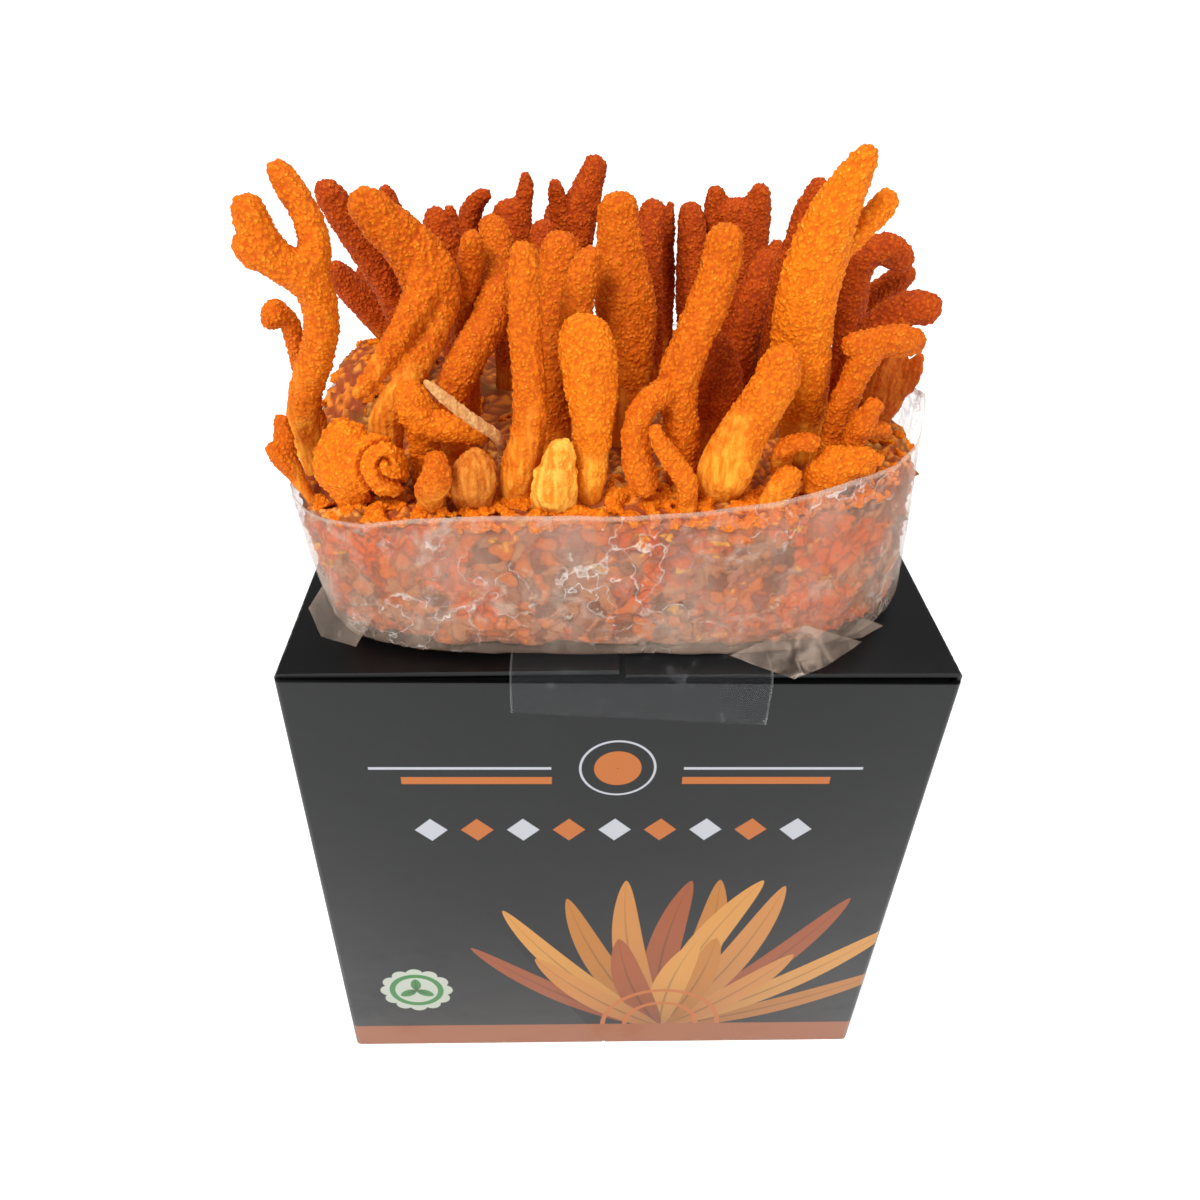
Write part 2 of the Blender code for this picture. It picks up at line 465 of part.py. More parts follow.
def inner_flap(parent, name, from_front):
    """A front or back flap, folded in under the outer flaps and sloping a little down."""
    root, free = INNER_FLAP_TOP
    half_width = CARTON_WIDTH / 2 - BOARD - 1.0
    near = 0.3
    far = CARTON_DEPTH / 2 - INNER_FLAP_GAP / 2
    outline = [(near, root - BOARD), (near + 0.4, root), (far, free), (far, free - BOARD)]
    if not from_front:
        outline = [(CARTON_DEPTH - d, z) for d, z in outline]
    bm = extrude_outline(outline, lambda d, z: (-half_width, d, z), lambda d, z: (half_width, d, z))
    return add_object(name, bm, parent, BLACK_BOARD, 0.4)


def block_between(parent, name, low, high):
    """A plain box from its low corner to its high corner."""
    outline = [(low[0], low[1]), (high[0], low[1]), (high[0], high[1]), (low[0], high[1])]
    bm = extrude_outline(outline, lambda x, y: (x, y, low[2]), lambda x, y: (x, y, high[2]))
    return add_object(name, bm, parent, BLACK_BOARD, 0.4)


def build_carton(parent):
    carton = wall_tube(parent)
    inset = 0.4
    half = CARTON_WIDTH / 2 - inset
    bottom = block_between(
        parent, "bottom_flaps", (-half, inset, -CARTON_HEIGHT), (half, CARTON_DEPTH - inset, BOARD - CARTON_HEIGHT)
    )
    width, depth = BOTTOM_GROOVE
    groove = block_between(
        parent, "bottom_seam", (-width / 2, -5.0, -CARTON_HEIGHT - 1.0),
        (width / 2, CARTON_DEPTH + 5.0, depth - CARTON_HEIGHT),
    )
    join_shape(carton, bottom, "UNION")
    join_shape(carton, inner_flap(parent, "front_inner_flap", True), "UNION")
    join_shape(carton, inner_flap(parent, "back_inner_flap", False), "UNION")
    join_shape(carton, outer_flap(parent, "left_outer_flap", -1, LEFT_FLAP_TOP), "UNION")
    join_shape(carton, outer_flap(parent, "right_outer_flap", 1, RIGHT_FLAP_TOP), "UNION")
    join_shape(carton, groove, "DIFFERENCE")
    return carton


# Tape


def lid_height(x):
    """Top of the outer flaps at x."""
    root, free = LEFT_FLAP_TOP if x < 0 else RIGHT_FLAP_TOP
    share = abs(x) / (CARTON_WIDTH / 2)
    return free + (root - free) * share


def tape_row(x, lift):
    """The tape's course from front to back at x, raised by lift from the board."""
    share = (x - TAPE_LEFT) / (TAPE_RIGHT - TAPE_LEFT)
    front_drop = TAPE_FRONT_DROP[0] + (TAPE_FRONT_DROP[1] - TAPE_FRONT_DROP[0]) * share
    top = lid_height(x) + lift
    front = -lift
    back = CARTON_DEPTH + lift
    edge = FLAP_SETBACK - lift
    inner = FLAP_SETBACK + 0.3
    return [
        (x, front, -front_drop), (x, front, 0.3), (x, edge, top - 0.15), (x, inner, top),
        (x, CARTON_DEPTH - inner, top), (x, CARTON_DEPTH - edge, top - 0.15), (x, back, 0.3),
        (x, back, -TAPE_BACK_DROP),
    ]


def build_tape(parent):
    stations = (TAPE_LEFT, -SEAM_GAP, SEAM_GAP, TAPE_RIGHT)
    under = [tape_row(x, GAP) for x in stations]
    over = [tape_row(x, GAP + TAPE_THICKNESS) for x in stations]
    bm = bmesh.new()
    rings = []
    for k in range(len(under[0])):
        rings.append([row[k] for row in under] + [row[k] for row in reversed(over)])
    loft(bm, rings)
    return add_object("tape", bm, parent, CLEAR_TAPE, 0.15)


# Block and bag


def read_profile(profile, at):
    """The value of a profile of (place, value) pairs, between its pairs."""
    return float(np.interp(at, [pair[0] for pair in profile], [pair[1] for pair in profile]))


def plan_point(angle, scale, z, offset=0.0):
    """A point (x, d) of the block's plan at height z: a rounded square, squarer and higher up leaning to the left."""
    cosine = math.cos(angle)
    sine = math.sin(angle)
    power = 2.0 / (LEFT_SQUARENESS if cosine < 0 else RIGHT_SQUARENESS)
    x = (BLOCK_HALF[0] * scale + offset) * math.copysign(abs(cosine) ** power, cosine)
    d = (BLOCK_HALF[1] * scale + offset) * math.copysign(abs(sine) ** power, sine)
    return read_profile(BLOCK_MIDDLE_X, z) + x, BLOCK_MIDDLE_D + d


def plan_angles():
    """Angles about the plan, the same for block and bag, so that their facets run side by side."""
    return [2.0 * math.pi * (i + 0.5) / BLOCK_SIDES for i in range(BLOCK_SIDES)]


def block_top(x, d):
    """Height of the block's lumpy top at a place."""
    across = (x - read_profile(BLOCK_MIDDLE_X, BLOCK_EDGE)) / BLOCK_HALF[0]
    along = (d - BLOCK_MIDDLE_D) / BLOCK_HALF[1]
    slope = 31.4 + 2.4 * across - 1.2 * along
    dome = 2.0 * (1.0 - min(1.0, across * across + along * along))
    lumps = 0.5 * math.sin(x / 6.5 + 1.3) * math.sin(d / 7.5 + 0.4)
    mound_x, mound_d, rise, wide, deep = MOUND
    mound = rise * math.exp(-(((x - mound_x) / wide) ** 2 + ((d - mound_d) / deep) ** 2))
    return slope + dome + lumps + mound


def block_ring(scale, plan_z, height):
    """A ring of the block, on its plan at plan_z: height(x, d) gives each point's z."""
    ring = []
    for angle in plan_angles():
        x, d = plan_point(angle, scale, plan_z)
        ring.append((x, d, height(x, d)))
    return ring


def girth(z):
    """How wide the block is at height z, against its full width."""
    return read_profile(GIRTH, z)


def build_block(parent):
    floor = BAG_FLOOR + FILM + FILM_GAP
    rings = [
        block_ring(0.5, floor, lambda x, d: floor),
        block_ring(girth(floor) - 0.012, floor, lambda x, d: floor),
    ]
    for z in BAG_LEVELS[:3]:
        rings.append(block_ring(girth(z), z, lambda x, d, z=z: z))
    for drop, inset in ((3.4, 0.0), (1.2, 0.008), (0.3, 0.024)):
        edge = BLOCK_EDGE - drop
        rings.append(block_ring(girth(edge) - inset, edge, lambda x, d, drop=drop: block_top(x, d) - drop))
    for scale in (0.94, 0.8, 0.62, 0.42, 0.2):
        rings.append(block_ring(scale, BLOCK_EDGE, block_top))
    bm = bmesh.new()
    loft(bm, rings)
    bmesh.ops.triangulate(bm, faces=bm.faces[:])
    return add_object("substrate_block", bm, parent, GRAIN, 0.8)


def film_ring(scale, z, offset):
    return [(*plan_point(angle, scale, z, offset), z) for angle in plan_angles()]


def bag_wall(offset, floor):
    """One face of the film, from the middle of its floor to the rim."""
    rings = [film_ring(0.5, floor, offset), film_ring(girth(floor) - 0.006, floor, offset)]
    rings += [film_ring(girth(z), z, offset) for z in BAG_LEVELS]
    rim = []
    for angle in plan_angles():
        top = read_profile(RIM, math.degrees(angle) % 360.0)
        rim.append((*plan_point(angle, girth(top), top, offset + RIM_LEAN), top))
    rings.append(rim)
    return rings


def build_bag(parent):
    bm = bmesh.new()
    outer = bag_wall(FILM_GAP + FILM, BAG_FLOOR)
    inner = bag_wall(FILM_GAP, BAG_FLOOR + FILM)
    loft(bm, outer + inner[::-1])
    return add_object("grow_bag", bm, parent, MILKY_FILM, 0.35)


# Fruiting bodies


def smooth_route(points, step):
    """Stations read from a Catmull-Rom curve through the points, about a step apart, and which of them get a ring.

    A ring stands at each of the points, and halfway along a long stretch.
    """
    knots = np.array([points[0], *points, points[-1]], float)
    stations = []
    ringed = []
    for a, b, c, e in zip(knots, knots[1:], knots[2:], knots[3:]):
        count = max(1, round(float(np.linalg.norm(c[:3] - b[:3])) / step))
        ringed.append(len(stations))
        if count >= LONG_STRETCH:
            ringed.append(len(stations) + count // 2)
        for t in np.arange(count) / count:
            straight = 2.0 * b + (c - a) * t
            bend = (2.0 * a - 5.0 * b + 4.0 * c - e) * t * t + (3.0 * b - 3.0 * c + e - a) * t ** 3
            stations.append(0.5 * (straight + bend))
    ringed.append(len(stations))
    stations.append(knots[-1])
    return np.array(stations), ringed


def tangents(stations):
    """Unit direction of a route at each station."""
    steps = np.gradient(stations[:, :3], axis=0)
    return steps / np.linalg.norm(steps, axis=1)[:, None]


def width_directions(stations):
    """Unit directions of a limb's width, across the route and upright to the depth axis."""
    across = np.cross(tangents(stations), np.array((0.0, 1.0, 0.0)))
    return across / np.linalg.norm(across, axis=1)[:, None]


@dataclass
class Course:
    """A limb on its way to becoming a mesh: its club's number, its stations, its rings' and its flatness."""

    club: int
    stations: np.ndarray
    ringed: list
    flat: float


def lay_out(clubs):
    """The limbs' routes, each trunk from its foot on the block."""
    courses = []
    for number, club in enumerate(clubs):
        for index, limb in enumerate(club.limbs):
            points = list(limb.points)
            if index == 0:
                x, d, width = club.foot
                points.insert(0, (x, d, block_top(x, d) + GAP, width))
            stations, ringed = smooth_route(points, STATION_STEP)
            courses.append(Course(number, stations, ringed, limb.flat))
    return courses


def balls_along(course):
    """Balls that fill a limb: one at each station, or three side by side where the limb is flat."""
    half = course.stations[:, 3] / 2
    depth = half * course.flat
    lobes = (0.0,) if course.flat >= ROUND_FROM else (-1.0, 0.0, 1.0)
    across = width_directions(course.stations)
    shifts = [across * (lobe * (half - depth))[:, None] for lobe in lobes]
    station = np.tile(np.arange(len(half)), len(lobes))
    return station, np.concatenate(shifts), np.tile(depth if len(lobes) > 1 else half, len(lobes))


def spread_apart(courses):
    """Leans neighbouring clubs away from each other until a small gap is left between them all."""
    centres = np.concatenate([course.stations[:, :3] for course in courses])
    owner = np.concatenate([np.full(len(course.stations), course.club) for course in courses])
    reach = np.linalg.norm(centres[:, None] - centres[None, :], axis=2)
    pull = np.where(owner[:, None] == owner[None, :], np.exp(-((reach / SPREAD_REACH) ** 2)), 0.0)
    pull /= pull.sum(axis=1)[:, None]
    station, shift, radius = [], [], []
    start = 0
    for course in courses:
        ball_station, ball_shift, ball_radius = balls_along(course)
        station.append(ball_station + start)
        shift.append(ball_shift)
        radius.append(ball_radius)
        start += len(course.stations)
    station, shift, radius = np.concatenate(station), np.concatenate(shift), np.concatenate(radius)
    balls_at = np.bincount(station, minlength=len(centres))[:, None]
    strangers = owner[station][:, None] != owner[station][None, :]
    near = (reach[np.ix_(station, station)] < SPREAD_LOOK) & strangers
    first, second = np.nonzero(near)
    need = radius[first] + radius[second] + CLUB_GAP
    for _ in range(SPREAD_ROUNDS):
        places = centres[station] + shift
        apart = places[first] - places[second]
        distance = np.sqrt((apart ** 2).sum(axis=1)) + 1e-6
        short = np.maximum(need - distance, 0.0)
        if short.max() < SPREAD_DONE:
            break
        push = np.zeros_like(centres)
        np.add.at(push, station[first], apart * (short / distance)[:, None])
        crowd = np.zeros(len(centres))
        np.add.at(crowd, station[first], short > 0)
        push /= np.maximum(crowd, balls_at[:, 0])[:, None]
        centres = centres + SPREAD_GAIN * (pull @ push) * np.array(SPREAD_FREEDOM)
    start = 0
    for course in courses:
        end = start + len(course.stations)
        course.stations[:, :3] = centres[start:end]
        start = end


def limb_mesh(course, is_trunk, ground):
    """Skins one limb. A trunk's first ring is laid on the ground, with a gap."""
    stations = course.stations[course.ringed]
    sides = THIN_SIDES if stations[:, 3].max() < THIN_WIDTH else RING_SIDES
    direction = tangents(stations)
    across = width_directions(stations)
    deep = np.cross(direction, across)
    rings = []
    for centre, side, back in zip(stations, across, deep):
        half = centre[3] / 2 * FACET_SWELL
        ring = []
        for i in range(sides):
            angle = 2.0 * math.pi * (i + 0.5) / sides
            offset = side * math.cos(angle) * half + back * math.sin(angle) * half * course.flat
            ring.append(Vector(centre[:3] + offset))
        rings.append(ring)
    middle = Vector(stations[0, :3])
    if is_trunk:
        rings[0] = [lay_on_ground(point, middle, ground) for point in rings[0]]
        middle = lay_on_ground(middle, middle, ground)
    bm = bmesh.new()
    rows = loft(bm, rings, capped=False)
    foot = bm.verts.new(middle)
    tip = bm.verts.new(Vector(stations[-1, :3] + direction[-1] * stations[-1, 3] * TIP_LENGTH))
    for i in range(sides):
        j = (i + 1) % sides
        bm.faces.new((foot, rows[0][j], rows[0][i]))
        bm.faces.new((tip, rows[-1][i], rows[-1][j]))
    return bm


def lay_on_ground(point, middle, ground):
    """The point dropped on the block, or, past the block's edge, drawn in towards the limb's middle."""
    for share in (1.0, 0.85, 0.7, 0.5, 0.3, 0.0):
        place = middle.lerp(point, share)
        hit = ground.ray_cast(Vector((place.x, place.y, 90.0)), Vector((0.0, 0.0, -1.0)))[0]
        if hit is not None and hit.z > block_top(place.x, place.y) - FACET_SINK:
            return Vector((place.x, place.y, hit.z + GAP))
    return Vector((middle.x, middle.y, block_top(middle.x, middle.y) + GAP))


def ground_tree(block):
    """The block's surface in millimetres, for casting rays on."""
    corners = [vertex.co / MM for vertex in block.data.vertices]
    faces = [tuple(face.vertices) for face in block.data.polygons]
    return BVHTree.FromPolygons(corners, faces)


def build_clubs(parent, block):
    courses = lay_out(CLUBS)
    spread_apart(courses)
    ground = ground_tree(block)
    trunks = {}
    for course in courses:
        club = CLUBS[course.club]
        is_trunk = course.club not in trunks
        name = club.name if is_trunk else club.name + "_limb"
        bm = limb_mesh(course, is_trunk, ground)
        obj = add_object(name, bm, parent, club.colour, 0.75, smooth_angle=80.0)
        if is_trunk:
            trunks[course.club] = obj
        else:
            join_shape(trunks[course.club], obj, "UNION")


def main():
    clear_scene()
    lid_front = bpy.data.objects.new("lid_front", None)
    lid_front.location = (0.0, -CARTON_DEPTH / 2 * MM, CARTON_HEIGHT * MM)
    bpy.context.scene.collection.objects.link(lid_front)
    build_carton(lid_front)
    build_tape(lid_front)
    block = build_block(lid_front)
    build_bag(lid_front)
    build_clubs(lid_front, block)


main()
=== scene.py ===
"""Dresses the cordyceps grow kit: the folded carton, its tape, the grow bag, the grain block and the clubs.

Everything is in metres in the frame of the CAD part: the origin in the middle of the carton's underside, +Z up
and the front face towards -Y. Patterns are scaled in millimetres, which the helpers turn into metres.
"""

import json
import logging
import math
from dataclasses import dataclass, field
from enum import Enum
from typing import Callable, Iterable, Sequence

import bpy
import numpy as np
from mathutils import Matrix, Vector


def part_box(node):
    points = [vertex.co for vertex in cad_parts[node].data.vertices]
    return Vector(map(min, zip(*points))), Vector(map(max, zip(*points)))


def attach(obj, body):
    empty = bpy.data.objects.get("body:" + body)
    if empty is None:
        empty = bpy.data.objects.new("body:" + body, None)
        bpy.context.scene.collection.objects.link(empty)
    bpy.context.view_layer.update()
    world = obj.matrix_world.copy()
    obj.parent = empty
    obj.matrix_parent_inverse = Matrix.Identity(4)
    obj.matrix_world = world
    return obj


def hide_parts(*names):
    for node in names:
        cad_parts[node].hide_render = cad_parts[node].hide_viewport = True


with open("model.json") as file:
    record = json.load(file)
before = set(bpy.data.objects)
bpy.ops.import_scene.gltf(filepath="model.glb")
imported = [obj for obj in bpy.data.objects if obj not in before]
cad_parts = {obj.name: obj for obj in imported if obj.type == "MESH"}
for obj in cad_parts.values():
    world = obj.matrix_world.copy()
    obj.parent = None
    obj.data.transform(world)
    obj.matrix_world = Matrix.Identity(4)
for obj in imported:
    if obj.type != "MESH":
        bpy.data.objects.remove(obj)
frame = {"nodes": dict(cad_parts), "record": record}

LOG = logging.getLogger("grow_kit")
MM = 0.001
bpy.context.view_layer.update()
Colour = tuple[float, float, float]


def linear(red: int, green: int, blue: int) -> Colour:
    """Turns a screen colour into linear light.

    Args:
        red: Red, 0 to 255.
        green: Green, 0 to 255.
        blue: Blue, 0 to 255.

    Returns:
        The three linear values, 0 to 1.
    """
    shares = [channel / 255.0 for channel in (red, green, blue)]
    curve = [share / 12.92 if share <= 0.04045 else ((share + 0.055) / 1.055) ** 2.4 for share in shares]
    return curve[0], curve[1], curve[2]


def pick(*objects: bpy.types.Object) -> None:
    """Selects only these objects and makes the first one active."""
    bpy.ops.object.select_all(action="DESELECT")
    for obj in objects:
        obj.select_set(True)
    bpy.context.view_layer.objects.active = objects[0]


def edit_all(obj: bpy.types.Object, step: Callable[[], object]) -> None:
    """Runs one edit-mode step on the whole of an object.

    Args:
        obj: The mesh object.
        step: Calls an operator, with everything selected.
    """
    pick(obj)
    bpy.ops.object.mode_set(mode="EDIT")
    bpy.ops.mesh.select_all(action="SELECT")
    step()
    bpy.ops.object.mode_set(mode="OBJECT")


def refine(obj: bpy.types.Object, kind: str, **settings: object) -> None:
    """Adds a modifier, gives it its settings and applies it.

    Args:
        obj: The mesh object.
        kind: The modifier's type, such as "SUBSURF".
        settings: Its properties by name.
    """
    modifier = obj.modifiers.new(kind.lower(), kind)
    for name, value in settings.items():
        setattr(modifier, name, value)
    if kind == "SUBSURF":
        modifier.render_levels = modifier.levels
    pick(obj)
    bpy.ops.object.modifier_apply(modifier=modifier.name)


def grow_with(obj: bpy.types.Object, tree: bpy.types.NodeTree, **values: object) -> None:
    """Runs a geometry node group over an object and applies it.

    Args:
        obj: The mesh object.
        tree: The geometry node group.
        values: The group's inputs by name, spaces as underscores.
    """
    modifier = obj.modifiers.new(tree.name, "NODES")
    modifier.node_group = tree
    for item in tree.interface.items_tree:
        key = item.name.replace(" ", "_")
        if item.item_type == "SOCKET" and item.in_out == "INPUT" and key in values:
            modifier[item.identifier] = values[key]
    pick(obj)
    bpy.ops.object.modifier_apply(modifier=modifier.name)


def copy_of(node: str, name: str) -> bpy.types.Object:
    """Copies a CAD node's mesh into a piece of its own, with its loose triangles merged."""
    mesh = frame["nodes"][node].data.copy()
    mesh.name = name
    mesh.materials.clear()
    piece = bpy.data.objects.new(name, mesh)
    bpy.context.scene.collection.objects.link(piece)
    edit_all(piece, lambda: bpy.ops.mesh.remove_doubles(threshold=1e-6))
    return piece


def new_piece(name: str, points: Iterable[Sequence[float]], faces: Iterable[Sequence[int]]) -> bpy.types.Object:
    """Makes an object of points in metres and faces as rows of point numbers."""
    mesh = bpy.data.meshes.new(name)
    mesh.from_pydata([tuple(point) for point in points], [], [tuple(face) for face in faces])
    mesh.update()
    piece = bpy.data.objects.new(name, mesh)
    bpy.context.scene.collection.objects.link(piece)
    return piece


def settle(piece: bpy.types.Object, slot: str, material: bpy.types.Material, *nodes: str) -> bpy.types.Object:
    """Gives a piece its material and its place in the frame.

    Args:
        piece: The finished piece.
        slot: The record's material slot; not used.
        material: The finish.
        nodes: The CAD nodes that the piece stands for.

    Returns:
        The piece.
    """
    piece.data.materials.clear()
    piece.data.materials.append(material)
    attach(piece, "root")
    if nodes:
        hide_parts(*nodes)
    LOG.info("%s: %d faces", piece.name, len(piece.data.polygons))
    return piece


class Wiring:
    """Adds nodes to a node tree in short lines."""

    def __init__(self, tree: bpy.types.NodeTree) -> None:
        """Takes the tree to work on."""
        self.tree = tree

    def add(self, kind: str, inputs: dict | None = None, **settings: object) -> bpy.types.Node:
        """Adds a node.

        Args:
            kind: The node's type name.
            inputs: Values or sockets for its inputs, by name or number.
            settings: The node's own properties.

        Returns:
            The node.
        """
        node = self.tree.nodes.new(kind)
        for name, value in settings.items():
            setattr(node, name, value)
        for key, value in (inputs or {}).items():
            self.feed(node.inputs[key], value)
        return node

    def feed(self, socket: bpy.types.NodeSocket, value: object) -> None:
        """Links a socket to an input, or sets the input's own value."""
        if isinstance(value, bpy.types.NodeSocket):
            self.tree.links.new(value, socket)
        elif isinstance(value, tuple) and len(value) == 3 and socket.type == "RGBA":
            socket.default_value = (*value, 1.0)
        else:
            socket.default_value = value

    def math(self, operation: str, *values: object, clamp: bool = False) -> bpy.types.NodeSocket:
        """A Math node's result."""
        node = self.add("ShaderNodeMath", dict(enumerate(values)), operation=operation, use_clamp=clamp)
        return node.outputs[0]

    def vector(self, operation: str, *values: object) -> bpy.types.NodeSocket:
        """A Vector Math node's vector."""
        return self.add("ShaderNodeVectorMath", dict(enumerate(values)), operation=operation).outputs[0]

    def scale(self, vector: object, by: object) -> bpy.types.NodeSocket:
        """A vector times a number."""
        return self.add("ShaderNodeVectorMath", {0: vector, "Scale": by}, operation="SCALE").outputs[0]

    def ramp(self, value: object, low: float, high: float, to: tuple[float, float] = (0.0, 1.0)) -> bpy.types.NodeSocket:
        """A smooth step from low to high, onto the range given."""
        inputs = {"Value": value, "From Min": low, "From Max": high, "To Min": to[0], "To Max": to[1]}
        return self.add("ShaderNodeMapRange", inputs, interpolation_type="SMOOTHSTEP").outputs[0]

    def blend(self, share: object, first: object, second: object, mode: str = "MIX") -> bpy.types.NodeSocket:
        """Two colours mixed."""
        inputs = {0: share, 6: first, 7: second}
        return self.add("ShaderNodeMix", inputs, data_type="RGBA", blend_type=mode).outputs[2]

    def noise(self, place: object, size: float, detail: float = 2.0, roughness: float = 0.5, **more: object) -> bpy.types.NodeSocket:
        """Noise with features of a size in the place's own unit."""
        inputs = {"Vector": place, "Scale": 1.0 / size, "Detail": detail, "Roughness": roughness}
        inputs.update({key.capitalize(): value for key, value in more.items()})
        return self.add("ShaderNodeTexNoise", inputs).outputs[0]

    def cells(self, place: object, size: float, feature: str = "F1", **more: object) -> bpy.types.Node:
        """A Voronoi texture with cells of a size in the place's own unit."""
        inputs = {"Vector": place, "Scale": 1.0 / size}
        inputs.update({key.capitalize(): value for key, value in more.items()})
        return self.add("ShaderNodeTexVoronoi", inputs, feature=feature)

    def attribute(self, name: str) -> bpy.types.NodeSocket:
        """A shader's reading of a mesh attribute, as a number."""
        return self.add("ShaderNodeAttribute", attribute_name=name).outputs["Fac"]


def open_group(name: str, kind: str, inputs: dict[str, tuple], outputs: dict[str, str]) -> tuple[Wiring, dict, bpy.types.Node]:
    """Starts a node group with named inputs and outputs.

    Args:
        name: The group's name.
        kind: "ShaderNodeTree" or "GeometryNodeTree".
        inputs: For each input its socket type and its default value, or None for none.
        outputs: For each output its socket type.

    Returns:
        The group's wiring, its input sockets by name, and its output node.
    """
    tree = bpy.data.node_groups.new(name, kind)
    for label, (socket_type, value) in inputs.items():
        socket = tree.interface.new_socket(label, in_out="INPUT", socket_type=socket_type)
        if value is not None:
            socket.default_value = value
    for label, socket_type in outputs.items():
        tree.interface.new_socket(label, in_out="OUTPUT", socket_type=socket_type)
    wiring = Wiring(tree)
    source = wiring.add("NodeGroupInput")
    target = wiring.add("NodeGroupOutput")
    return wiring, {label: source.outputs[label] for label in inputs}, target


NUMBER = "NodeSocketFloat"
VECTOR = "NodeSocketVector"
COLOUR = "NodeSocketColor"
GEOMETRY = "NodeSocketGeometry"


def make_velvet_group() -> bpy.types.NodeTree:
    """The fine nap of flesh, shared by the clubs and the young growth: dots, a mottle and a height."""
    wires, given, result = open_group(
        "velvet", "ShaderNodeTree",
        {"Place": (VECTOR, None), "Dot size": (NUMBER, 0.75)},
        {"Dots": NUMBER, "Mottle": NUMBER, "Height": NUMBER},
    )
    bent = wires.add("ShaderNodeTexNoise", {"Vector": given["Place"], "Scale": 0.8, "Detail": 2.0})
    place = wires.vector("ADD", given["Place"], wires.scale(bent.outputs["Color"], 0.6))
    turns = wires.math("DIVIDE", 1.0, given["Dot size"])
    cells = wires.add("ShaderNodeTexVoronoi", {"Vector": place, "Scale": turns, "Randomness": 0.9}, feature="F1")
    dots = wires.ramp(cells.outputs["Distance"], 0.12, 0.62, (1.0, 0.0))
    fine = wires.noise(given["Place"], 0.3, 3.0, 0.6)
    mottle = wires.noise(given["Place"], 3.2, 3.0, 0.6)
    height = wires.math("ADD", wires.math("MULTIPLY", dots, 0.75), wires.math("MULTIPLY", fine, 0.35))
    wires.feed(result.inputs["Dots"], dots)
    wires.feed(result.inputs["Mottle"], mottle)
    wires.feed(result.inputs["Height"], height)
    return wires.tree


def make_wear_group() -> bpy.types.NodeTree:
    """Scuffs along the edges of a box, partly real wear and partly a painted highlight on its folds, and its faint
    handling marks. Places are in millimetres.
    """
    wires, given, result = open_group(
        "board_wear", "ShaderNodeTree",
        {"Place": (VECTOR, None), "Middle": (VECTOR, (0.0, 0.0, 0.0)), "Half size": (VECTOR, (1.0, 1.0, 1.0)),
         "Reach": (NUMBER, 0.8)},
        {"Edge": NUMBER, "Scuff": NUMBER},
    )
    away = wires.vector("ABSOLUTE", wires.vector("SUBTRACT", given["Place"], given["Middle"]))
    parts = wires.add("ShaderNodeSeparateXYZ", {0: wires.vector("SUBTRACT", given["Half size"], away)})
    near = [wires.math("SUBTRACT", 1.0, wires.math("DIVIDE", part, given["Reach"]), clamp=True) for part in parts.outputs]
    first = wires.math("MULTIPLY", near[0], near[1])
    second = wires.math("MULTIPLY", near[1], near[2])
    third = wires.math("MULTIPLY", near[0], near[2])
    edge = wires.math("MAXIMUM", wires.math("MAXIMUM", first, second), third)
    rough = wires.noise(given["Place"], 1.1, 4.0, 0.7)
    patches = wires.noise(given["Place"], 9.0, 2.0, 0.5)
    broken = wires.math("MULTIPLY", wires.ramp(rough, 0.42, 0.62), wires.ramp(patches, 0.35, 0.6))
    wires.feed(result.inputs["Edge"], wires.math("MULTIPLY", wires.ramp(edge, 0.12, 0.6), broken))
    wires.feed(result.inputs["Scuff"], wires.ramp(wires.noise(given["Place"], 18.0, 5.0, 0.65), 0.5, 0.75))
    return wires.tree


def start_material(name: str) -> tuple[bpy.types.Material, Wiring, bpy.types.Node, bpy.types.NodeSocket]:
    """Makes a material.

    Args:
        name: The material's name.

    Returns:
        The material, its wiring, its Principled shader, and the object's own place in millimetres.
    """
    material = bpy.data.materials.new(name)
    material.use_nodes = True
    wires = Wiring(material.node_tree)
    shader = material.node_tree.nodes["Principled BSDF"]
    place = wires.scale(wires.add("ShaderNodeTexCoord").outputs["Object"], 1.0 / MM)
    return material, wires, shader, place


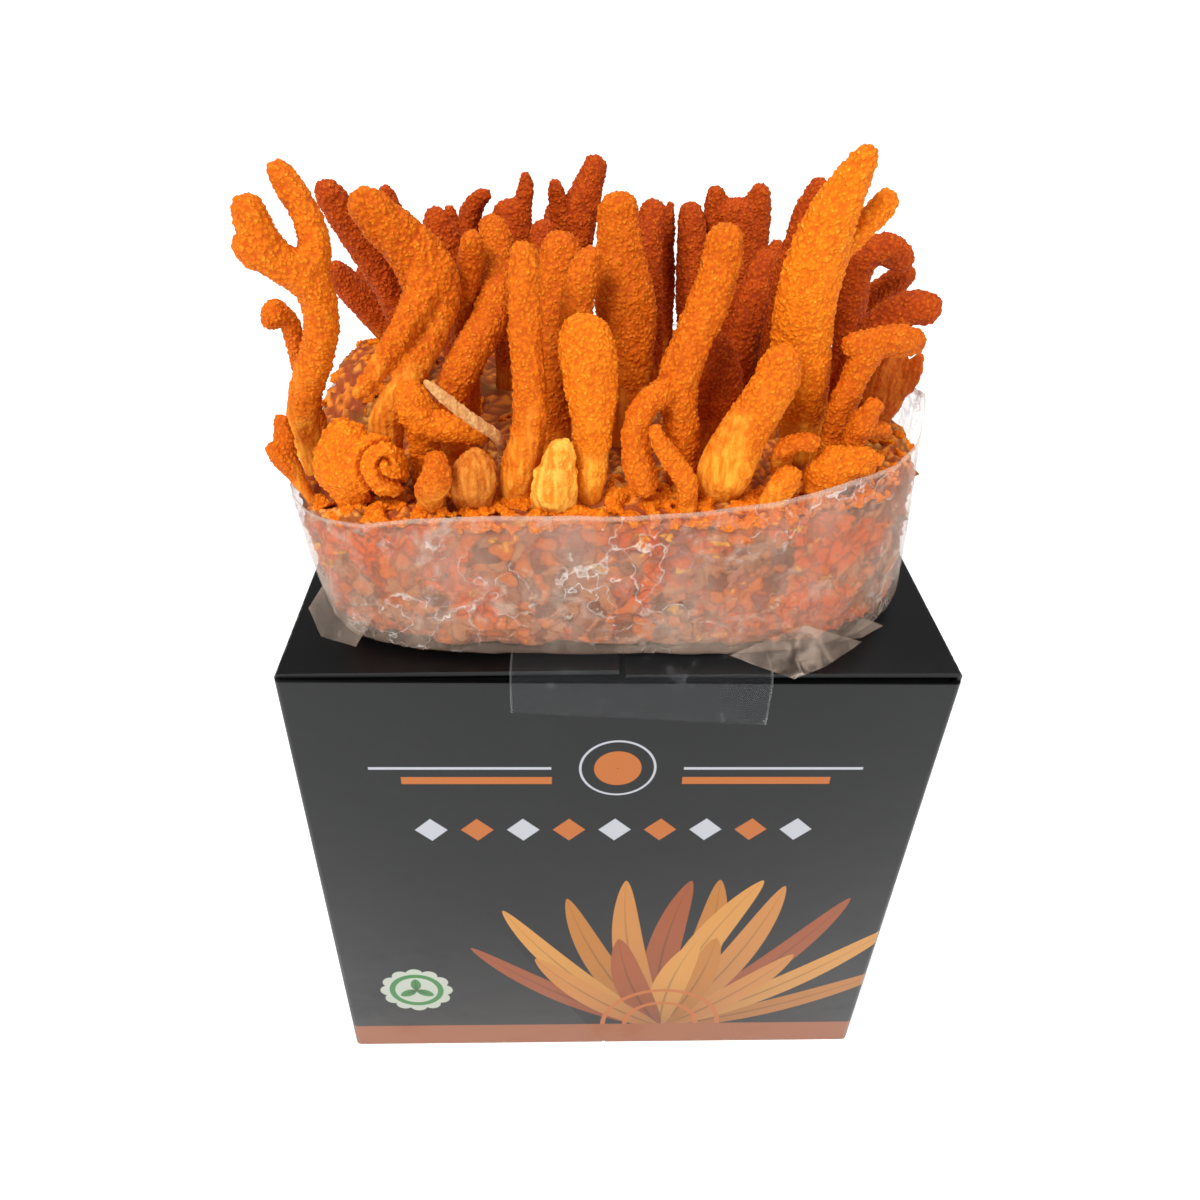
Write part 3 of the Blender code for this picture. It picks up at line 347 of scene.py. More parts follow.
@dataclass(frozen=True)
class FleshFinish:
    """The finish of fungus flesh: smooth stems below, and warty skin above where the attribute "fertile" is 1."""

    name: str
    pit_shade: Colour
    skin: Colour
    peak_highlight: Colour
    stem: Colour
    stem_shade: Colour
    shade_and_deep_tint: Colour = (0.62, 0.4, 0.35)

    def make(self, velvet: bpy.types.NodeTree) -> bpy.types.Material:
        """Makes the material.

        Args:
            velvet: The shared group for the nap.

        Returns:
            The material.
        """
        material, wires, shader, place = start_material(self.name)
        nap = wires.add("ShaderNodeGroup", node_tree=velvet)
        wires.feed(nap.inputs["Place"], place)
        relief = wires.attribute("relief")
        fertile = wires.attribute("fertile")
        # Painted shade in the pits between the warts and painted highlight on their tips, from the relief note and the
        # dots.
        lit = wires.math("ADD", wires.math("MULTIPLY", relief, 0.6), wires.math("MULTIPLY", nap.outputs["Dots"], 0.4))
        low = wires.blend(wires.ramp(lit, -0.1, 0.45), self.pit_shade, self.skin)
        skin = wires.blend(wires.ramp(lit, 0.4, 1.1), low, self.peak_highlight)
        skin = wires.blend(wires.ramp(nap.outputs["Mottle"], 0.45, 0.8, (0.0, 0.25)), skin, self.pit_shade)
        streaks = wires.noise(wires.vector("MULTIPLY", place, (1.0, 1.0, 0.12)), 0.9, 4.0, 0.6)
        stem = wires.blend(wires.ramp(streaks, 0.35, 0.65), self.stem_shade, self.stem)
        flesh = wires.blend(fertile, stem, skin)
        # Each club is darkened toward deep red by its own amount: partly its own deeper colour and partly painted shade
        # on the clubs that stand in shade.
        shaded_and_deeper = wires.blend(1.0, flesh, self.shade_and_deep_tint, "MULTIPLY")
        wires.feed(shader.inputs["Base Color"], wires.blend(wires.attribute("depth_of_tone"), flesh, shaded_and_deeper))
        wires.feed(shader.inputs["Roughness"], wires.math("SUBTRACT", 0.78, wires.math("MULTIPLY", fertile, 0.1)))
        amount = wires.math("ADD", 0.25, wires.math("MULTIPLY", fertile, 0.75))
        height = wires.math("MULTIPLY", nap.outputs["Height"], amount)
        bump = wires.add("ShaderNodeBump", {"Strength": 0.9, "Distance": 0.35 * MM, "Height": height})
        wires.feed(shader.inputs["Normal"], bump.outputs[0])
        shader.inputs["Subsurface Weight"].default_value = 0.1
        shader.inputs["Subsurface Radius"].default_value = (1.0, 0.35, 0.08)
        shader.inputs["Subsurface Scale"].default_value = 1.5 * MM
        shader.inputs["Specular IOR Level"].default_value = 0.14
        return material


@dataclass(frozen=True)
class GrainFinish:
    """The finish of the block: swollen grain bound by pale mycelium, with amber, brown and green-grey stains."""

    name: str = "grown_grain"

    def make(self) -> bpy.types.Material:
        """Makes the material."""
        material, wires, shader, place = start_material(self.name)
        bent = wires.add("ShaderNodeTexNoise", {"Vector": place, "Scale": 0.16, "Detail": 3.0})
        drift = wires.vector("ADD", place, wires.scale(bent.outputs["Color"], 9.0))
        grains = wires.cells(drift, 3.4)
        tone = wires.add("ShaderNodeSeparateColor", {0: grains.outputs["Color"]})
        base = wires.blend(wires.ramp(tone.outputs[0], 0.2, 0.8), linear(118, 64, 36), linear(176, 112, 70))
        rosy = wires.noise(wires.vector("ADD", drift, (3.0, 17.0, 71.0)), 15.0, 3.0, 0.55)
        base = wires.blend(wires.ramp(rosy, 0.5, 0.64, (0.0, 0.6)), base, linear(160, 92, 76))
        base = wires.blend(wires.ramp(tone.outputs[1], 0.62, 0.8, (0.0, 0.8)), base, linear(200, 100, 26))
        stains = wires.noise(drift, 14.0, 4.0, 0.6)
        base = wires.blend(wires.ramp(stains, 0.5, 0.6, (0.0, 0.9)), base, linear(206, 84, 12))
        amber = wires.noise(wires.vector("ADD", drift, (31.0, 7.0, 3.0)), 6.0, 3.0, 0.6)
        base = wires.blend(wires.ramp(amber, 0.62, 0.7, (0.0, 0.9)), base, linear(226, 156, 30))
        green = wires.noise(wires.vector("ADD", drift, (5.0, 61.0, 23.0)), 5.0, 4.0, 0.65)
        base = wires.blend(wires.ramp(green, 0.62, 0.7, (0.0, 0.8)), base, linear(74, 66, 40))
        mould = wires.noise(wires.vector("ADD", place, (91.0, 11.0, 53.0)), 5.0, 6.0, 0.75)
        base = wires.blend(wires.ramp(mould, 0.56, 0.7, (0.0, 0.7)), base, linear(206, 168, 132))
        edges = wires.cells(drift, 3.4, "DISTANCE_TO_EDGE")
        base = wires.blend(wires.ramp(edges.outputs["Distance"], 0.0, 0.16, (0.5, 0.0)), base, linear(104, 48, 24))
        wires.feed(shader.inputs["Base Color"], base)
        shader.inputs["Roughness"].default_value = 0.7
        fine = wires.noise(place, 0.6, 4.0, 0.65)
        bump = wires.add("ShaderNodeBump", {"Strength": 0.6, "Distance": 0.4 * MM, "Height": fine})
        wires.feed(shader.inputs["Normal"], bump.outputs[0])
        return material


@dataclass(frozen=True)
class CrustFinish:
    """The finish of the block's top: an orange crust of young growth over tan grain."""

    name: str = "orange_crust"

    def make(self) -> bpy.types.Material:
        """Makes the material."""
        material, wires, shader, place = start_material(self.name)
        relief = wires.attribute("relief")
        # Painted shade in the crust's hollows and painted highlight on its bumps, from the relief note, on the orange
        # and on the tan.
        skin = wires.blend(wires.ramp(relief, 0.2, 0.8), linear(150, 60, 4), linear(236, 132, 22))
        patch = wires.noise(place, 13.0, 4.0, 0.6)
        tan = wires.blend(wires.ramp(relief, 0.2, 0.8), linear(150, 84, 20), linear(226, 156, 66))
        base = wires.blend(wires.ramp(patch, 0.5, 0.62), skin, tan)
        wires.feed(shader.inputs["Base Color"], base)
        shader.inputs["Roughness"].default_value = 0.8
        fine = wires.noise(place, 0.45, 4.0, 0.65)
        bump = wires.add("ShaderNodeBump", {"Strength": 0.7, "Distance": 0.35 * MM, "Height": fine})
        wires.feed(shader.inputs["Normal"], bump.outputs[0])
        return material


@dataclass(frozen=True)
class FilmFinish:
    """The finish of the grow bag: thin cloudy film with sharp glints on its creases."""

    name: str = "cloudy_film"

    def make(self) -> bpy.types.Material:
        """Makes the material."""
        material, wires, shader, place = start_material(self.name)
        haze = wires.noise(wires.vector("MULTIPLY", place, (1.0, 1.0, 0.6)), 13.0, 5.0, 0.65)
        crease = wires.attribute("crease")
        edge = wires.attribute("edge")
        facing = wires.add("ShaderNodeLayerWeight", {"Blend": 0.25}).outputs["Facing"]
        bent = wires.add("ShaderNodeTexNoise", {"Vector": place, "Scale": 0.14, "Detail": 3.0})
        drift = wires.vector("ADD", place, wires.scale(bent.outputs["Color"], 16.0))
        strands = wires.cells(wires.vector("MULTIPLY", drift, (1.0, 1.0, 0.6)), 7.0, "DISTANCE_TO_EDGE")
        thread = wires.ramp(strands.outputs["Distance"], 0.0, 0.035, (1.0, 0.0))
        gathered = wires.ramp(wires.noise(place, 17.0, 2.0, 0.5), 0.48, 0.62)
        thread = wires.math("MULTIPLY", thread, gathered)
        # Painted highlight: the film is made whiter along its creases and along its cut rim, where the edge note is 1.
        cover = wires.math("ADD", wires.ramp(haze, 0.35, 0.75, (0.02, 0.2)), wires.math("MULTIPLY", crease, 0.2))
        cover = wires.math("ADD", cover, wires.math("MULTIPLY", thread, 0.3))
        cover = wires.math("ADD", cover, wires.math("MULTIPLY", edge, 0.22))
        cover = wires.math("ADD", cover, wires.math("MULTIPLY", facing, 0.22), clamp=True)
        wires.feed(shader.inputs["Base Color"], wires.blend(thread, linear(206, 180, 160), linear(246, 236, 226)))
        wires.feed(shader.inputs["Alpha"], cover)
        shader.inputs["Roughness"].default_value = 0.2
        shader.inputs["Specular IOR Level"].default_value = 0.7
        folds = wires.noise(wires.vector("MULTIPLY", place, (1.0, 1.0, 0.45)), 2.2, 5.0, 0.62, distortion=1.8)
        height = wires.math("ADD", folds, wires.math("MULTIPLY", thread, 0.5))
        bump = wires.add("ShaderNodeBump", {"Strength": 0.8, "Distance": 0.8 * MM, "Height": height})
        wires.feed(shader.inputs["Normal"], bump.outputs[0])
        return material


@dataclass(frozen=True)
class TapeFinish:
    """The finish of the clear tape: near-invisible glossy film with fine wrinkles, cloudy bubbles and a painted glint
    along its two sides.
    """

    name: str = "clear_packing_tape"
    sides: tuple[float, float] = (-20.6, 27.8)

    def make(self) -> bpy.types.Material:
        """Makes the material."""
        material, wires, shader, place = start_material(self.name)
        bubbles = wires.ramp(wires.noise(place, 5.0, 4.0, 0.7), 0.58, 0.7, (0.02, 0.1))
        parts = wires.add("ShaderNodeSeparateXYZ", {0: place})
        sides = [wires.math("ABSOLUTE", wires.math("SUBTRACT", parts.outputs[0], side)) for side in self.sides]
        near = wires.math("MINIMUM", *sides)
        # Painted glint: the tape is more opaque in a thin line along its two sides.
        line = wires.math("MULTIPLY", wires.ramp(near, 0.2, 0.5, (0.2, 0.0)), wires.noise(place, 2.5, 3.0, 0.6))
        shader.inputs["Base Color"].default_value = (*linear(150, 152, 156), 1.0)
        wires.feed(shader.inputs["Alpha"], wires.math("ADD", bubbles, line))
        shader.inputs["Roughness"].default_value = 0.07
        shader.inputs["Specular IOR Level"].default_value = 0.6
        folds = wires.noise(wires.vector("MULTIPLY", place, (0.5, 1.0, 1.0)), 7.0, 3.0, 0.55)
        bump = wires.add("ShaderNodeBump", {"Strength": 0.5, "Distance": 0.5 * MM, "Height": folds})
        wires.feed(shader.inputs["Normal"], bump.outputs[0])
        return material


class Motif(Enum):
    """The ornaments of the print."""

    BAR = "bar"
    RING = "ring"
    BLADE = "blade"


@dataclass(frozen=True)
class Mark:
    """One flush ornament of the print: its motif, place (x, z) in mm, turn, size and colour."""

    motif: Motif
    at: tuple[float, float]
    size: tuple[float, float]
    colour: Colour
    turn: float = 0.0
    bend: float = 0.0


def make_motif_groups() -> dict[Motif, bpy.types.NodeTree]:
    """The masks of the print's ornaments, in millimetres on the carton's front face."""
    given_sockets = {
        "Place": (VECTOR, None), "At": (VECTOR, (0.0, 0.0, 0.0)), "Turn": (NUMBER, 0.0), "Length": (NUMBER, 10.0),
        "Width": (NUMBER, 2.0), "Bend": (NUMBER, 0.0),
    }
    groups = {}
    for motif in Motif:
        wires, given, result = open_group("print_" + motif.value, "ShaderNodeTree", given_sockets, {"Mask": NUMBER, "Shade": NUMBER})
        turned = wires.add("ShaderNodeVectorRotate", {"Vector": given["Place"], "Center": given["At"]}, rotation_type="Z_AXIS")
        wires.feed(turned.inputs["Angle"], given["Turn"])
        local = wires.add("ShaderNodeSeparateXYZ", {0: wires.vector("SUBTRACT", turned.outputs[0], given["At"])})
        along = local.outputs[0]
        across = local.outputs[1]
        shade = wires.math("DIVIDE", along, given["Length"])
        if motif is Motif.RING:
            radius = wires.math("SQRT", wires.math("ADD", wires.math("POWER", along, 2.0), wires.math("POWER", across, 2.0)))
            inside = wires.math("SUBTRACT", given["Width"], wires.math("ABSOLUTE", wires.math("SUBTRACT", radius, given["Length"])))
        elif motif is Motif.BAR:
            ends = wires.math("SUBTRACT", given["Length"], wires.math("ABSOLUTE", along))
            inside = wires.math("MINIMUM", ends, wires.math("SUBTRACT", given["Width"], wires.math("ABSOLUTE", across)))
        else:
            curve = wires.math("MULTIPLY", wires.math("MULTIPLY", wires.math("POWER", wires.math("ABSOLUTE", shade), 2.0), given["Bend"]), given["Length"])
            across = wires.math("ABSOLUTE", wires.math("SUBTRACT", across, curve))
            belly = wires.math("MULTIPLY", shade, wires.math("SUBTRACT", 1.0, shade))
            half = wires.math("MULTIPLY", wires.math("POWER", wires.math("MAXIMUM", belly, 0.0), 0.6), given["Width"])
            inside = wires.math("SUBTRACT", wires.math("MULTIPLY", half, 2.2), across)
            shade = wires.math("SUBTRACT", wires.math("MULTIPLY", shade, 0.8), wires.ramp(across, 0.0, 0.5, (0.45, 0.0)))
            inside = wires.math("MINIMUM", inside, wires.math("MULTIPLY", belly, 40.0))
        wires.feed(result.inputs["Mask"], wires.ramp(inside, 0.0, 0.22))
        wires.feed(result.inputs["Shade"], shade)
        groups[motif] = wires.tree
    return groups


def print_marks() -> list[Mark]:
    """The print's ornaments, from the lowest layer up: a fan of blades, rules, rings, lozenges and a rosette."""
    orange = linear(172, 96, 38)
    grey = linear(172, 174, 180)
    green = linear(42, 116, 50)
    cream = linear(176, 182, 168)
    tones = (linear(168, 106, 36), linear(190, 132, 60), linear(142, 70, 28), linear(180, 118, 54))
    marks = []
    fan = (
        (12.0, 62.0, 3.2), (26.0, 66.0, 3.6), (40.0, 64.0, 3.9), (54.0, 60.0, 4.2), (68.0, 58.0, 4.4),
        (84.0, 60.0, 4.6), (99.0, 57.0, 4.4), (113.0, 58.0, 4.2), (127.0, 56.0, 3.9), (141.0, 60.0, 3.6),
        (156.0, 56.0, 3.2), (33.0, 42.0, 4.0), (61.0, 38.0, 4.4), (92.0, 36.0, 4.6), (120.0, 38.0, 4.4),
        (149.0, 42.0, 4.0),
    )
    for i, (turn, length, width) in enumerate(fan):
        bend = 0.22 if turn < 80.0 else -0.22
        marks.append(Mark(Motif.BLADE, (14.0, 7.0), (length, width), tones[i % 4], math.radians(-turn), bend))
    for x, radius in ((14.0, 9.0), (14.0, 14.5)):
        marks.append(Mark(Motif.RING, (x, 8.6), (radius, 0.7), orange))
    marks.append(Mark(Motif.RING, (0.0, 100.0), (7.4, 0.35), grey))
    marks.append(Mark(Motif.RING, (0.0, 100.0), (2.4, 2.4), orange))
    for x in (-31.0, 31.0):
        marks.append(Mark(Motif.BAR, (x, 100.0), (18.0, 0.45), grey))
        marks.append(Mark(Motif.BAR, (x * 0.9, 96.6), (15.0, 1.1), orange))
    for i in range(9):
        at = (-38.0 + 9.5 * i, 82.0)
        marks.append(Mark(Motif.BAR, at, (2.5, 2.5), orange if i % 2 else grey, math.radians(45.0)))
    for i in range(12):
        turn = math.tau * i / 12
        at = (-46.0 + 6.6 * math.cos(turn), 24.0 + 6.6 * math.sin(turn))
        marks.append(Mark(Motif.RING, at, (1.1, 1.1), cream))
    marks.append(Mark(Motif.RING, (-46.0, 24.0), (3.4, 3.4), cream))
    marks.append(Mark(Motif.RING, (-46.0, 24.0), (5.8, 0.8), green))
    for turn in (30.0, 150.0, 270.0):
        marks.append(Mark(Motif.BLADE, (-46.0, 24.0), (4.6, 1.4), green, math.radians(turn)))
    return marks


@dataclass(frozen=True)
class BoardFinish:
    """The finish of the carton: black varnished board, scuffed to paper along its edges with a painted highlight there
    too, a print on its front and painted shade on the top of its lid.
    """

    name: str
    colour: Colour
    worn_and_glint: Colour
    middle: tuple[float, float, float]
    half: tuple[float, float, float]
    roughness: float = 0.34
    band: float = 8.4
    cover: float = 0.96
    lid: float = 121.6
    lid_painted_shade: float = 0.25
    band_colour: Colour = linear(146, 84, 46)

    def make(self, wear: bpy.types.NodeTree, motifs: dict[Motif, bpy.types.NodeTree]) -> bpy.types.Material:
        """Makes the material.

        Args:
            wear: The shared group for edge wear.
            motifs: The shared masks of the print's ornaments.

        Returns:
            The material.
        """
        material, wires, shader, place = start_material(self.name)
        marks = wires.add("ShaderNodeGroup", {"Middle": self.middle, "Half size": self.half}, node_tree=wear)
        wires.feed(marks.inputs["Place"], place)
        lighter = tuple(channel * 1.6 + 0.004 for channel in self.colour)
        board = wires.blend(wires.math("MULTIPLY", marks.outputs["Scuff"], 0.5), self.colour, lighter)
        # Painted shade: above the lid's fold the board is painted four times darker.
        height = wires.add("ShaderNodeSeparateXYZ", {0: place}).outputs[2]
        lid_shaded = tuple(channel * self.lid_painted_shade for channel in self.colour)
        board = wires.blend(wires.ramp(height, self.lid, self.lid + 0.4), board, lid_shaded)
        base = self.lay_print(wires, place, board, motifs)
        # Pale scuffed paper along the box's edges: partly real wear and partly a painted highlight along the folds.
        base = wires.blend(marks.outputs["Edge"], base, self.worn_and_glint)
        wires.feed(shader.inputs["Base Color"], base)
        shader.inputs["Specular IOR Level"].default_value = 0.3
        rough = wires.math("ADD", self.roughness, wires.math("MULTIPLY", marks.outputs["Scuff"], 0.12))
        wires.feed(shader.inputs["Roughness"], wires.math("ADD", rough, wires.math("MULTIPLY", marks.outputs["Edge"], 0.4)))
        fibres = wires.noise(wires.vector("MULTIPLY", place, (1.0, 1.0, 3.0)), 0.5, 3.0, 0.6)
        waves = wires.noise(place, 16.0, 2.0, 0.5)
        height = wires.math("ADD", wires.math("MULTIPLY", fibres, 0.05), wires.math("MULTIPLY", waves, 0.9))
        bump = wires.add("ShaderNodeBump", {"Strength": 0.35, "Distance": 0.6 * MM, "Height": height})
        wires.feed(shader.inputs["Normal"], bump.outputs[0])
        return material

    def lay_print(self, wires: Wiring, place: bpy.types.NodeSocket, board: bpy.types.NodeSocket,
                  motifs: dict[Motif, bpy.types.NodeTree]) -> bpy.types.NodeSocket:
        """Lays the band and the ornaments over the board's colour, on the front face alone."""
        parts = wires.add("ShaderNodeSeparateXYZ", {0: place})
        flat = wires.add("ShaderNodeCombineXYZ", {0: parts.outputs[0], 1: parts.outputs[2]}).outputs[0]
        ink = board
        for mark in print_marks():
            node = wires.add(
                "ShaderNodeGroup",
                {"Place": flat, "At": (*mark.at, 0.0), "Turn": mark.turn, "Length": mark.size[0], "Width": mark.size[1],
                 "Bend": mark.bend},
                node_tree=motifs[mark.motif],
            )
            shaded = tuple(channel * 0.45 for channel in mark.colour)
            tone = wires.blend(wires.ramp(node.outputs["Shade"], -0.3, 0.6), shaded, mark.colour) if mark.motif is Motif.BLADE else mark.colour
            ink = wires.blend(wires.math("MULTIPLY", node.outputs["Mask"], self.cover), ink, tone)
        low = wires.ramp(parts.outputs[2], self.band - 0.15, self.band + 0.15, (1.0, 0.0))
        ink = wires.blend(low, ink, self.band_colour)
        front = wires.math("LESS_THAN", parts.outputs[1], 0.3 - self.half[1])
        return wires.blend(front, board, ink)


def coil_groove(wires: Wiring, place: bpy.types.NodeSocket, middle: bpy.types.NodeSocket) -> bpy.types.NodeSocket:
    """A spiral groove round a middle, on the side that looks forward and up: 1 in the groove and 0 beside it."""
    parts = wires.add("ShaderNodeSeparateXYZ", {0: wires.vector("SUBTRACT", place, middle)})
    across = parts.outputs[0]
    up = wires.math("ADD", wires.math("MULTIPLY", parts.outputs[1], 0.584), wires.math("MULTIPLY", parts.outputs[2], 0.812))
    radius = wires.math("SQRT", wires.math("ADD", wires.math("POWER", across, 2.0), wires.math("POWER", up, 2.0)))
    turn = wires.math("ARCTAN2", up, across)
    phase = wires.math("SUBTRACT", wires.math("MULTIPLY", radius, math.tau / 3.4), turn)
    groove = wires.ramp(wires.math("COSINE", phase), 0.45, 1.0)
    return wires.math("MULTIPLY", groove, wires.ramp(radius, 5.4, 6.6, (1.0, 0.0)))


def make_skin_growth() -> bpy.types.NodeTree:
    """Geometry nodes that turn a smooth club into a lumpy, warty one and note its relief and fertile part."""
    wires, given, result = open_group(
        "skin_growth", "GeometryNodeTree",
        {"Geometry": (GEOMETRY, None), "Foot": (NUMBER, 0.0), "Bare": (NUMBER, 4.0), "Change": (NUMBER, 9.0),
         "Lumps": (NUMBER, 0.45), "Warts": (NUMBER, 0.3), "Flare": (NUMBER, 0.8), "Wart size": (NUMBER, 0.72),
         "Fertile most": (NUMBER, 1.0), "Swell": (NUMBER, 0.15), "Ridges": (NUMBER, 0.0), "Tone": (NUMBER, 0.0),
         "Coil at": (VECTOR, (0.0, 0.0, 0.0)), "Coil": (NUMBER, 0.0)},
        {"Geometry": GEOMETRY},
    )
    place = wires.scale(wires.add("GeometryNodeInputPosition").outputs[0], 1.0 / MM)
    normal = wires.add("GeometryNodeInputNormal").outputs[0]
    up = wires.math("SUBTRACT", wires.add("ShaderNodeSeparateXYZ", {0: place}).outputs[2], given["Foot"])
    wander = wires.noise(place, 4.5, 2.0, 0.5)
    share = wires.math("DIVIDE", wires.math("SUBTRACT", up, given["Bare"]), given["Change"])
    share = wires.math("ADD", share, wires.math("MULTIPLY", wires.math("SUBTRACT", wander, 0.5), 2.2))
    fertile = wires.math("MULTIPLY", wires.ramp(share, 0.0, 1.0), given["Fertile most"])
    lumps = wires.math("SUBTRACT", wires.noise(place, 3.6, 2.0, 0.5), 0.5)
    knots = wires.math("SUBTRACT", wires.noise(place, 1.7, 2.0, 0.5), 0.5)
    bent = wires.add("ShaderNodeTexNoise", {"Vector": place, "Scale": 0.7, "Detail": 2.0})
    turned = wires.vector("ADD", place, wires.scale(bent.outputs["Color"], 0.9))
    turns = wires.math("DIVIDE", 1.0, given["Wart size"])
    cells = wires.add("ShaderNodeTexVoronoi", {"Vector": turned, "Scale": turns, "Randomness": 0.95}, feature="F1")
    wart = wires.ramp(cells.outputs["Distance"], 0.1, 0.62, (1.0, 0.0))
    lift = wires.math("MULTIPLY", lumps, wires.math("MULTIPLY", given["Lumps"], 2.0))
    lift = wires.math("ADD", lift, wires.math("MULTIPLY", knots, wires.math("MULTIPLY", given["Lumps"], 1.1)))
    depth = wires.math("MULTIPLY", given["Warts"], wires.math("ADD", 0.12, wires.math("MULTIPLY", fertile, 0.88)))
    lift = wires.math("ADD", lift, wires.math("MULTIPLY", wires.math("SUBTRACT", wart, 0.55), depth))
    grooves = wires.math("SUBTRACT", wires.noise(wires.vector("MULTIPLY", place, (1.0, 1.0, 0.13)), 1.3, 2.0, 0.5), 0.5)
    lift = wires.math("ADD", lift, wires.math("MULTIPLY", grooves, wires.math("MULTIPLY", given["Ridges"], 2.0)))
    lift = wires.math("ADD", lift, given["Swell"])
    groove = coil_groove(wires, place, given["Coil at"])
    lift = wires.math("SUBTRACT", lift, wires.math("MULTIPLY", groove, given["Coil"]))
    low = wires.ramp(up, 0.0, 2.6, (1.0, 0.0))
    lift = wires.math("ADD", lift, wires.math("MULTIPLY", low, wires.math("MULTIPLY", given["Flare"], 0.7)))
    drop = wires.add("ShaderNodeCombineXYZ", {2: wires.math("MULTIPLY", wires.math("MULTIPLY", low, given["Flare"]), -1.0)})
    offset = wires.scale(wires.vector("ADD", wires.scale(normal, lift), drop.outputs[0]), MM)
    # The relief note is lighter on warts, knots and ridges and darker in the grooves and the coil's groove; the
    # finishes paint it as shade and highlight.
    tone = wires.math("ADD", wires.math("MULTIPLY", wart, 0.7), wires.math("MULTIPLY", wires.math("ADD", knots, 0.5), 0.45))
    tone = wires.math("ADD", tone, wires.math("MULTIPLY", grooves, wires.math("MULTIPLY", given["Ridges"], 1.5)))
    tone = wires.math("SUBTRACT", tone, wires.math("MULTIPLY", groove, wires.math("MULTIPLY", given["Coil"], 0.5)))
    noted = given["Geometry"]
    # The third note holds the club's darkening toward deep red: partly its own deeper colour and partly painted shade.
    for label, value in (("relief", tone), ("fertile", fertile), ("depth_of_tone", given["Tone"])):
        node = wires.add("GeometryNodeStoreNamedAttribute", {"Geometry": noted, "Name": label}, data_type="FLOAT")
        wires.feed(node.inputs["Value"], value)
        noted = node.outputs[0]
    moved = wires.add("GeometryNodeSetPosition", {"Geometry": noted, "Offset": offset})
    wires.feed(result.inputs["Geometry"], moved.outputs[0])
    return wires.tree


def make_young_growth() -> bpy.types.NodeTree:
    """Geometry nodes that scatter small lumps over the faces that look up, most of them along the front rim."""
    wires, given, result = open_group(
        "young_growth", "GeometryNodeTree",
        {"Geometry": (GEOMETRY, None), "Lump": ("NodeSocketObject", None), "Spacing": (NUMBER, 2.4),
         "Density": (NUMBER, 0.12), "Least": (NUMBER, 0.7), "Most": (NUMBER, 1.6), "Rim": (NUMBER, -53.0),
         "Inside": (NUMBER, 0.3), "Seed": ("NodeSocketInt", 1)},
        {"Geometry": GEOMETRY},
    )
    scatter = wires.add("GeometryNodeDistributePointsOnFaces", distribute_method="POISSON")
    normal = wires.add("ShaderNodeSeparateXYZ", {0: wires.add("GeometryNodeInputNormal").outputs[0]})
    place = wires.scale(wires.add("GeometryNodeInputPosition").outputs[0], 1.0 / MM)
    back = wires.math("SUBTRACT", wires.add("ShaderNodeSeparateXYZ", {0: place}).outputs[1], given["Rim"])
    most = wires.math("MULTIPLY", wires.ramp(back, 0.0, 6.0, (1.0, 0.0)), wires.math("SUBTRACT", 1.0, given["Inside"]))
    clumps = wires.ramp(wires.noise(place, 7.0, 2.0, 0.5), 0.42, 0.58)
    share = wires.math("ADD", most, wires.math("MULTIPLY", given["Inside"], clumps))
    wires.feed(scatter.inputs["Mesh"], given["Geometry"])
    wires.feed(scatter.inputs["Selection"], wires.math("GREATER_THAN", normal.outputs[2], 0.25))
    wires.feed(scatter.inputs["Distance Min"], wires.math("MULTIPLY", given["Spacing"], MM))
    wires.feed(scatter.inputs["Density Max"], wires.math("DIVIDE", given["Density"], MM * MM))
    wires.feed(scatter.inputs["Density Factor"], share)
    wires.feed(scatter.inputs["Seed"], given["Seed"])
    lump = wires.add("GeometryNodeObjectInfo", {"Object": given["Lump"]}, transform_space="ORIGINAL")
    turn = {"Min": (-0.9, -0.9, 0.0), "Max": (0.9, 0.9, math.tau)}
    tilt = wires.add("FunctionNodeRandomValue", turn, data_type="FLOAT_VECTOR")
    least = wires.vector("MULTIPLY", (1.0, 1.0, 1.0), wires.add("ShaderNodeCombineXYZ", dict.fromkeys(range(3), given["Least"])).outputs[0])
    most_size = wires.add("ShaderNodeCombineXYZ", dict.fromkeys(range(3), given["Most"])).outputs[0]
    size = wires.add("FunctionNodeRandomValue", {"Min": least, "Max": most_size, "Seed": 7}, data_type="FLOAT_VECTOR")
    put = wires.add("GeometryNodeInstanceOnPoints", {"Points": scatter.outputs["Points"], "Instance": lump.outputs["Geometry"]})
    wires.feed(put.inputs["Rotation"], tilt.outputs[0])
    wires.feed(put.inputs["Scale"], size.outputs[0])
    real = wires.add("GeometryNodeRealizeInstances", {"Geometry": put.outputs[0]})
    wires.feed(result.inputs["Geometry"], real.outputs[0])
    return wires.tree


@dataclass(frozen=True)
class StemLook:
    """How one club differs from the usual: the height in mm where its skin turns warty, and over what height."""

    bare: float = 2.0
    change: float = 7.0
    lumps: float = 0.42
    warts: float = 0.3
    ridges: float = 0.0
    fertile_most: float = 1.0
    voxel: float = 0.3
    # How far the club is darkened toward deep red: partly its own deeper colour and partly painted shade.
    tone: float = 0.55
    coil_at: tuple[float, float, float] = (0.0, 0.0, 0.0)
    coil: float = 0.0


